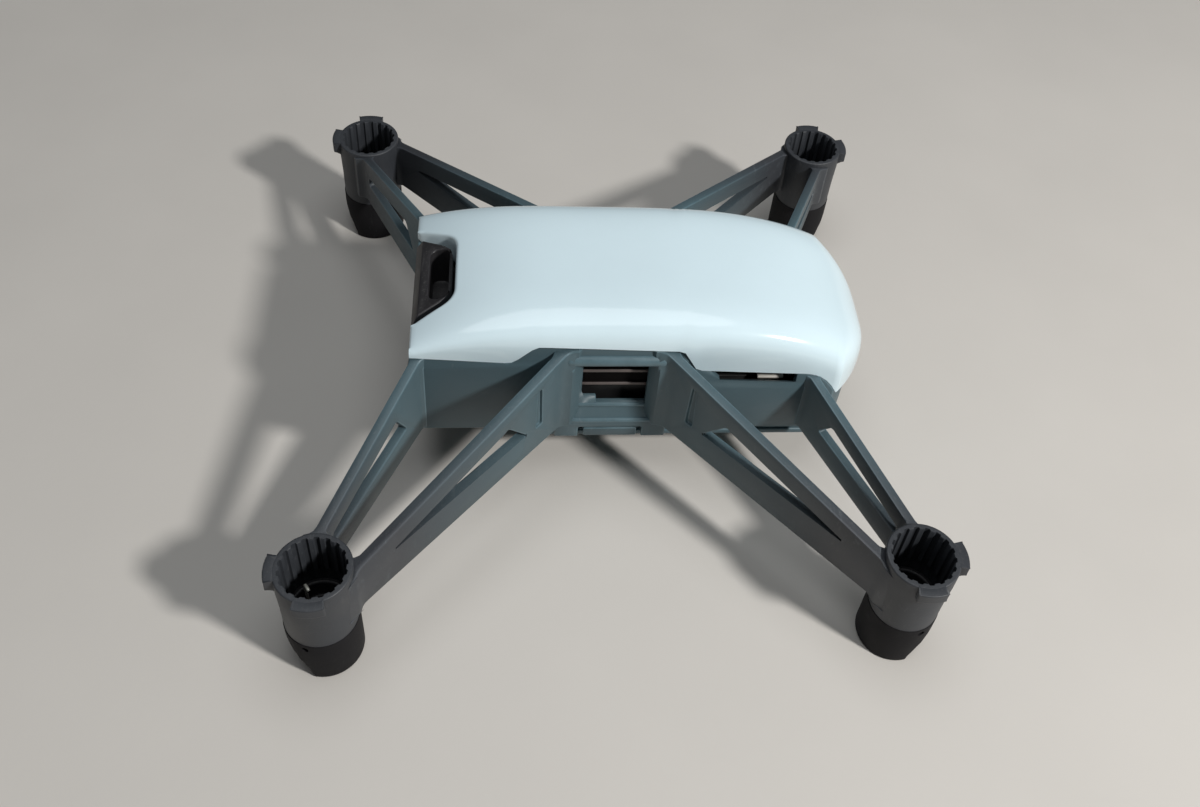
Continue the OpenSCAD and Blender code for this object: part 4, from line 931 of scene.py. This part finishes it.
def tube_shape():
    """Ribbed motor tube of the front left corner, with its two clip tabs."""
    r, wide = size("rim_round"), size("rim_width")
    out, grip = TUBE_R + wide, GRIP_R - wide
    profile = [
        (TUBE_LOW_R, FOOT_TOP), *((TUBE_LOW_R + more, z) for more, z in FLARE),
        (out, FLARE_TOP), (out, RIM_Z - r), *rounded(out, RIM_Z, r, RIM_TURNS),
        (grip + MOUTH_W, RIM_Z), (grip, RIM_Z - MOUTH_H), (grip, GRIP_MID),
        (grip, GRIP_LOW + GRIP_LEAD), (CHAMBER_R, GRIP_LOW), (CHAMBER_R, FOOT_TOP),
    ]
    piece = lathe(profile, RIBS * RIB_STEPS, close=False)
    co = points_of(piece)
    for k, (x, y, z) in enumerate(co):
        dx, dy = x - TUBE_X, y - TUBE_Y
        radius, turn = math.hypot(dx, dy), math.atan2(dy, dx)
        if radius < grip + MOUTH_W + 0.01:
            phase = (turn / (2 * math.pi) * RIBS) % 1.0
            flank = (abs(phase - 0.5) - GROOVE_SHARE / 2) / GROOVE_FLANK
            groove = (1 - clamp01(flank + 0.5)) * (CHAMBER_R - GRIP_R)
            deep = radius + groove * (1.0 if radius < grip + 0.01 else MOUTH_GROOVE)
            co[k, :2] = TUBE_X + dx * deep / radius, TUBE_Y + dy * deep / radius
    place(piece, co)
    open_edges(piece)
    bpy.ops.mesh.bridge_edge_loops()
    edges_done()
    settle_mesh(piece)
    return join([piece, tab_shape(0), tab_shape(90)])


def tab_shape(turn):
    """Clip tab with a curved face, rounded corners and a tapered lower end."""
    piece, u, v = grid(16, 12)
    half = math.asin(TAB_W / 2 / (TUBE_R + TAB_REACH))
    place(piece, [(a, b, 0) for a, b in zip(u, v)])
    modify(piece, "SOLIDIFY", thickness=0.2, offset=0.0, use_rim=True)
    co = []
    for a, b, n in points_of(piece):
        angle, z = (2 * a - 1) * half, RIM_Z - TAB_H + TAB_H * b
        tall = ease(clamp01((z - (RIM_Z - TAB_H)) / TAB_TAPER))
        radius = TUBE_R + TAB_STEP + (TAB_REACH - TAB_STEP) * tall
        if n < 0:
            radius, angle = TUBE_R - TAB_ROOT, angle * TAB_FLARE
        co.append((*around(radius, angle + math.radians(turn)), z))
    place(piece, co)
    settle_mesh(piece)
    return soften(piece, TAB_ROUND, 3, 50, worn=False)


def foot_shape():
    """Foot cap with a slanted outer cut and a drain hole."""
    r = size("foot_round")
    arc = [math.radians(a) for a in FOOT_TURNS]
    profile = [
        (AXIS_R, 0), (FOOT_R - r - SOLE_FLAT, 0),
        *((FOOT_R - r + r * math.sin(a), r - r * math.cos(a)) for a in arc),
        (FOOT_R, FOOT_MID), *rounded(FOOT_R, FOOT_TOP, LIP_ROUND, FOOT_TURNS),
        (PLUG_R, FOOT_TOP), (PLUG_R, PLUG_TOP), (PLUG_BORE, PLUG_TOP), (PLUG_BORE, FOOT_FLOOR),
        (AXIS_R, FOOT_FLOOR),
    ]
    piece = lathe(profile, 96, close=True)
    turn, slant = math.radians(CUT_TURN), math.atan2(FOOT_R - SOLE_REACH, CUT_TOP)
    outward = (
        math.cos(turn) * math.cos(slant), math.sin(turn) * math.cos(slant), -math.sin(slant)
    )
    trim(piece, (*around(SOLE_REACH, turn), 0), outward)
    settle_mesh(piece)
    soften(piece, CUT_ROUND, 3, 40)
    drain = rod(DRAIN_R, DRAIN_L, 24)
    turn = math.radians(DRAIN_TURN)
    out = []
    for x, y, z in points_of(drain):
        at_x, at_y = around(FOOT_R + DRAIN_OUT + x, turn)
        out.append((at_x - y * math.sin(turn), at_y + y * math.cos(turn), DRAIN_Z + z))
    place(drain, out)
    return cut(piece, drain)


# ------------ pieces from the solids

# For each node: piece, rounding, slot, and the finishes of faces and rounded edges if not the
# slot's own; an edge finish is lighter than its face: worn edges with a painted highlight
SOFT_EDGED = {
    "body": {
        "body_shell": ("tub", 0.2, "frame_grey", "frame_grey", "frame_edge"),
        "bottom_plate": ("belly_plate", 0.2, "foot_dark", "frame_grey", "frame_edge"),
        "power_button": ("button_bar", 0.16, "frame_grey", "button_grey", "frame_edge"),
        "belly_screws": ("screws_belly", 0.08, "screw_steel"),
    },
    "leads": {
        "motor_leads": ("leads", 0.06, "lead_metal"),
    },
    "nose": {
        "nose_housing": ("nose", 0.22, "nose_black", "nose_black", "nose_edge"),
        "camera_block": ("camera_case", 0.2, "inner_black", "inner_black", "nose_edge"),
        "lens_barrel": ("barrel", 0.16, "inner_black", "nose_black", "nose_edge"),
        "lens_glass": ("front_glass", 0.2, "dark_glass"),
        "status_lamp": ("lamp", 0.25, "lamp_clear"),
    },
    "battery": {
        "battery_case": ("cell_case", 0.5, "battery_grey", "battery_grey", "battery_edge"),
        "battery_tail": ("cell_tail", 0.3, "frame_grey", "frame_grey", "frame_edge"),
        "battery_pads": ("cell_pads", 0.06, "contact_gold"),
        "battery_tray": ("tray", 0.1, "inner_black"),
        "battery_socket": ("springs", 0.06, "contact_gold"),
    },
    "electronics": {
        "main_board": ("board", 0.06, "board_green"),
        "board_screws": ("screws_board", 0.08, "screw_steel"),
        "shield_can": ("can", 0.2, "shield_metal"),
        "heat_sink": ("fins", 0.12, "fin_brown", "fin_shadow", "fin_brown"),
        "motor_sockets": ("plugs", 0.15, "socket_cream"),
        "usb_socket": ("charge_shell", 0.1, "shield_metal"),
        "power_switch": ("switch", 0.08, "shield_metal"),
        "antenna_left": ("strip_left", 0.1, "antenna_white"),
        "antenna_right": ("strip_right", 0.1, "antenna_white"),
    },
    "sensors": {
        "flow_camera": ("down_camera", 0.12, "inner_black", "inner_black", "nose_edge"),
        "range_sensor": ("ranger", 0.1, "inner_black", "inner_black", "nose_edge"),
        "belly_window": ("window", 0.1, "dark_glass"),
    },
}
MOVING = {
    "power_button": "power_button", "battery_case": "battery", "battery_tail": "battery",
    "battery_pads": "battery",
}


def soft_edged(group):
    """Copies of a group's CAD nodes with rounded edges."""
    for node, (name, rounding, slot, *finishes) in SOFT_EDGED[group].items():
        piece = node_copy(node)
        if node == "body_shell":
            dress_tub(piece)
        soften(piece, rounding, 2, 35)
        if node == "body_shell":
            piece = join([piece] + pocket_beads())
        # Painted light and shade on the heat sink: faces that look out of the window take the
        # brown as if lit, all others the near-black painted shade
        if node == "heat_sink":
            for f in piece.data.polygons:
                outside = f.center.y > FIN_FACE - FIN_DEEP and f.normal.y > FIN_TURN
                f.material_index = int(outside)
        body = MOVING.get(node, "airframe")
        finish(piece, name, body, slot, node, *(finishes or (slot, slot)))


def dress_tub(piece):
    """Slopes the slits' lips, opens gaps beside the button and rounds the pockets' edges."""
    for side in (-1, 1):
        lip = slab((SLIT_REAR, LIP_INNER, -1), (SLIT_FORE, LIP_OUTER, 1))
        wedge = []
        for x, y, z in points_of(lip):
            low = SLIT_LOW - SLIT_FALL * (SLIT_FORE - x) / (SLIT_FORE - SLIT_REAR)
            under = 0.0 if y > HALF_W - 1 else -LIP_DEEP
            wedge.append((x, side * y, low + (LIP_OVER if z > 0 else under)))
        place(lip, wedge)
        cut(piece, settle_mesh(lip))
    for rear in (-BUTTON_END - BUTTON_GAP, BUTTON_END):
        low = (rear, BUTTON_BACK, BUTTON_LOW)
        cut(piece, slab(low, (rear + BUTTON_GAP, BUTTON_FACE, BUTTON_HIGH)))
    round_edges(piece, size("lintel_round"), 6, lambda *ends: on_lip(ends, LINTEL_Z))
    round_edges(piece, size("ledge_round"), 4, lambda *ends: on_lip(ends, LEDGE_Z))
    round_edges(piece, size("jamb_round"), 2, on_jamb)


def pocket_beads():
    """Rolled lips of both side pockets, at the lintel, the sill and the ledge."""
    beads = []
    for y, z, radius, rear, fore in BEADS:
        for side in (-1, 1):
            bead = rod(radius, fore - rear, 24, ((rear + fore) / 2, side * y, z))
            round_edges(bead, radius * BEAD_END, 4, lambda a, b: abs(a.x - b.x) < 0.001)
            beads.append(bead)
    return beads


def on_jamb(*ends):
    return all(
        abs(abs(p.y) - POCKET_BACK) < 0.05 and VENT_LOW - 0.1 < p.z < VENT_HIGH + 0.1
        and min(abs(p.x - VENT_REAR), abs(p.x - VENT_FORE)) < 0.05
        for p in ends
    )


def on_lip(ends, level):
    """Whether an edge lies along the lip of a side pocket at a level."""
    return all(
        abs(abs(p.y) - HALF_W) < 0.3 and abs(p.x) < POCKET_X and abs(p.z - level) < 0.1
        for p in ends
    )


# ------------ stage

IMAGE_W, IMAGE_H = 1200, 807
CAMERA_AT = (16.356, 124.141, 156.316)
CAMERA_AXES = (
    (-0.99374116, 0.07241756, 0.08505415),
    (0.00726426, -0.71789717, 0.69611126),
    (0.11147081, 0.69237226, 0.71287791),
)
CENTRE_PIXEL = (636.55, 280.0)
FLOOR_SIZE, LIGHT_AIM = 6, (0, 0, 0.015)
KEY_FROM, KEY_TINT = (-0.605, 0.478, 0.637), (1.0, 0.985, 0.96)
TOP_FROM, TOP_TINT = (0.0, 0.0, 1.0), (0.95, 0.98, 1.0)
FILL_TINT, BACKDROP = (0.90, 0.95, 1.0, 1.0), (0.86, 0.85, 0.83, 1.0)


def build_stage():
    scene = bpy.context.scene
    scene.view_settings.view_transform = "Standard"
    settings = scene.drone_stage
    camera = new_object("camera", bpy.data.cameras.new("camera"))
    camera.data.sensor_width = 36.0
    camera.data.lens = settings.lens
    camera.data.shift_x = (IMAGE_W / 2 - CENTRE_PIXEL[0]) / IMAGE_W
    camera.data.shift_y = (CENTRE_PIXEL[1] - IMAGE_H / 2) / IMAGE_W
    camera.data.clip_start, camera.data.clip_end = 0.01, 20.0
    turn = Matrix(CAMERA_AXES).transposed().to_4x4()
    camera.matrix_world = Matrix.Translation(Vector(CAMERA_AT) * MM) @ turn
    scene.camera = camera
    clear()
    bpy.ops.mesh.primitive_plane_add(size=FLOOR_SIZE)
    floor = bpy.context.object
    floor.name = "floor"
    floor.data.materials.append(bpy.data.materials[finish_name("floor_pale")])
    area_light("key", KEY_FROM, 0.6, 0.06, settings.key_power, KEY_TINT)
    area_light("top", TOP_FROM, 0.7, 0.6, settings.top_power, TOP_TINT)
    light_all_round(scene, settings.fill)


def light_all_round(scene, strength):
    """Dim light from all sides, with a pale backdrop for the camera alone."""
    scene.world = scene.world or bpy.data.worlds.new("world")
    scene.world.use_nodes = True
    tree = scene.world.node_tree
    tree.nodes.clear()
    seen = add(tree, "LightPath").outputs["Is Camera Ray"]
    light = add(tree, "Background", {"Color": FILL_TINT, "Strength": strength}).outputs[0]
    backdrop = add(tree, "Background", {"Color": BACKDROP}).outputs[0]
    mix = add(tree, "MixShader", {"Fac": seen, 1: light, 2: backdrop}).outputs[0]
    add(tree, "OutputWorld", {"Surface": mix})


def area_light(name, direction, distance, width, power, tint):
    lamp = bpy.data.lights.new(name, "AREA")
    lamp.shape = "DISK"
    lamp.size, lamp.energy, lamp.color = width, power, tint
    holder = new_object(name, lamp)
    away = Vector(direction).normalized()
    holder.location = away * distance + Vector(LIGHT_AIM)
    holder.rotation_euler = away.to_track_quat("Z", "Y").to_euler()


# ------------ operators

DONE = {"FINISHED"}


class DRONE_OT_finishes(bpy.types.Operator):
    """Makes the procedural finishes."""

    bl_idname = "drone.finishes"
    bl_label = "Finishes"

    def execute(self, context):
        make_finishes()
        return DONE


class DRONE_OT_stage(bpy.types.Operator):
    """Sets the camera, floor and light."""

    bl_idname = "drone.stage"
    bl_label = "Stage"

    def execute(self, context):
        build_stage()
        return DONE


class DRONE_OT_cover(bpy.types.Operator):
    """Models the glossy top cover."""

    bl_idname = "drone.cover"
    bl_label = "Cover"

    def execute(self, context):
        build_cover()
        return DONE


class DRONE_OT_body(bpy.types.Operator):
    """Rounds the tub, belly plate, button bar and belly screws."""

    bl_idname = "drone.body"
    bl_label = "Body"

    def execute(self, context):
        soft_edged("body")
        return DONE


class DRONE_OT_struts(bpy.types.Operator):
    """Models the eight slotted blades."""

    bl_idname = "drone.struts"
    bl_label = "Struts"

    def execute(self, context):
        build_struts()
        return DONE


class DRONE_OT_tubes(bpy.types.Operator):
    """Models the four ribbed motor tubes and rounds the lead ends."""

    bl_idname = "drone.tubes"
    bl_label = "Motor tubes"

    def execute(self, context):
        # The tubes take their grey with painted shade in it
        at_corners(
            tube_shape(), "tube_", "motor_tube_", "frame_grey", "tube_grey", "frame_edge", angle=42
        )
        soft_edged("leads")
        return DONE


class DRONE_OT_feet(bpy.types.Operator):
    """Models the four foot caps."""

    bl_idname = "drone.feet"
    bl_label = "Feet"

    def execute(self, context):
        at_corners(foot_shape(), "cap_", "foot_", "foot_dark", "foot_dark", "foot_edge")
        return DONE


class DRONE_OT_nose(bpy.types.Operator):
    """Rounds the nose with its camera and lamp."""

    bl_idname = "drone.nose"
    bl_label = "Nose"

    def execute(self, context):
        soft_edged("nose")
        return DONE


class DRONE_OT_battery(bpy.types.Operator):
    """Rounds the battery, its tray and their contacts."""

    bl_idname = "drone.battery"
    bl_label = "Battery"

    def execute(self, context):
        soft_edged("battery")
        return DONE


class DRONE_OT_electronics(bpy.types.Operator):
    """Rounds the board and the pieces on it."""

    bl_idname = "drone.electronics"
    bl_label = "Electronics"

    def execute(self, context):
        soft_edged("electronics")
        return DONE


class DRONE_OT_sensors(bpy.types.Operator):
    """Rounds the sensors in the belly and their window."""

    bl_idname = "drone.sensors"
    bl_label = "Belly sensors"

    def execute(self, context):
        soft_edged("sensors")
        return DONE


STEPS = (
    DRONE_OT_finishes, DRONE_OT_stage, DRONE_OT_cover, DRONE_OT_body, DRONE_OT_struts,
    DRONE_OT_tubes, DRONE_OT_feet, DRONE_OT_nose, DRONE_OT_battery, DRONE_OT_electronics,
    DRONE_OT_sensors,
)
GROUPS = {"drone_sizes": DroneSizes, "drone_colours": DroneColours, "drone_stage": DroneStage}


class DRONE_PT_panel(bpy.types.Panel):
    """Lists the build steps and their settings."""

    bl_label = "Mini palm drone"
    bl_idname = "DRONE_PT_panel"
    bl_space_type = "VIEW_3D"
    bl_region_type = "UI"
    bl_category = "Drone"

    def draw(self, context):
        for name, group in GROUPS.items():
            for key in group.__annotations__:
                self.layout.prop(getattr(context.scene, name), key)
        for step in STEPS:
            self.layout.operator(step.bl_idname)


def register():
    for cls in [*GROUPS.values(), *STEPS, DRONE_PT_panel]:
        bpy.utils.register_class(cls)
    for name, group in GROUPS.items():
        setattr(bpy.types.Scene, name, PointerProperty(type=group))


def unregister():
    for name in GROUPS:
        delattr(bpy.types.Scene, name)
    for cls in [DRONE_PT_panel, *reversed(STEPS), *GROUPS.values()]:
        bpy.utils.unregister_class(cls)


def main():
    register()
    for step in STEPS:
        getattr(bpy.ops.drone, step.bl_idname.split(".")[1])()


if __name__ == "__main__":
    main()
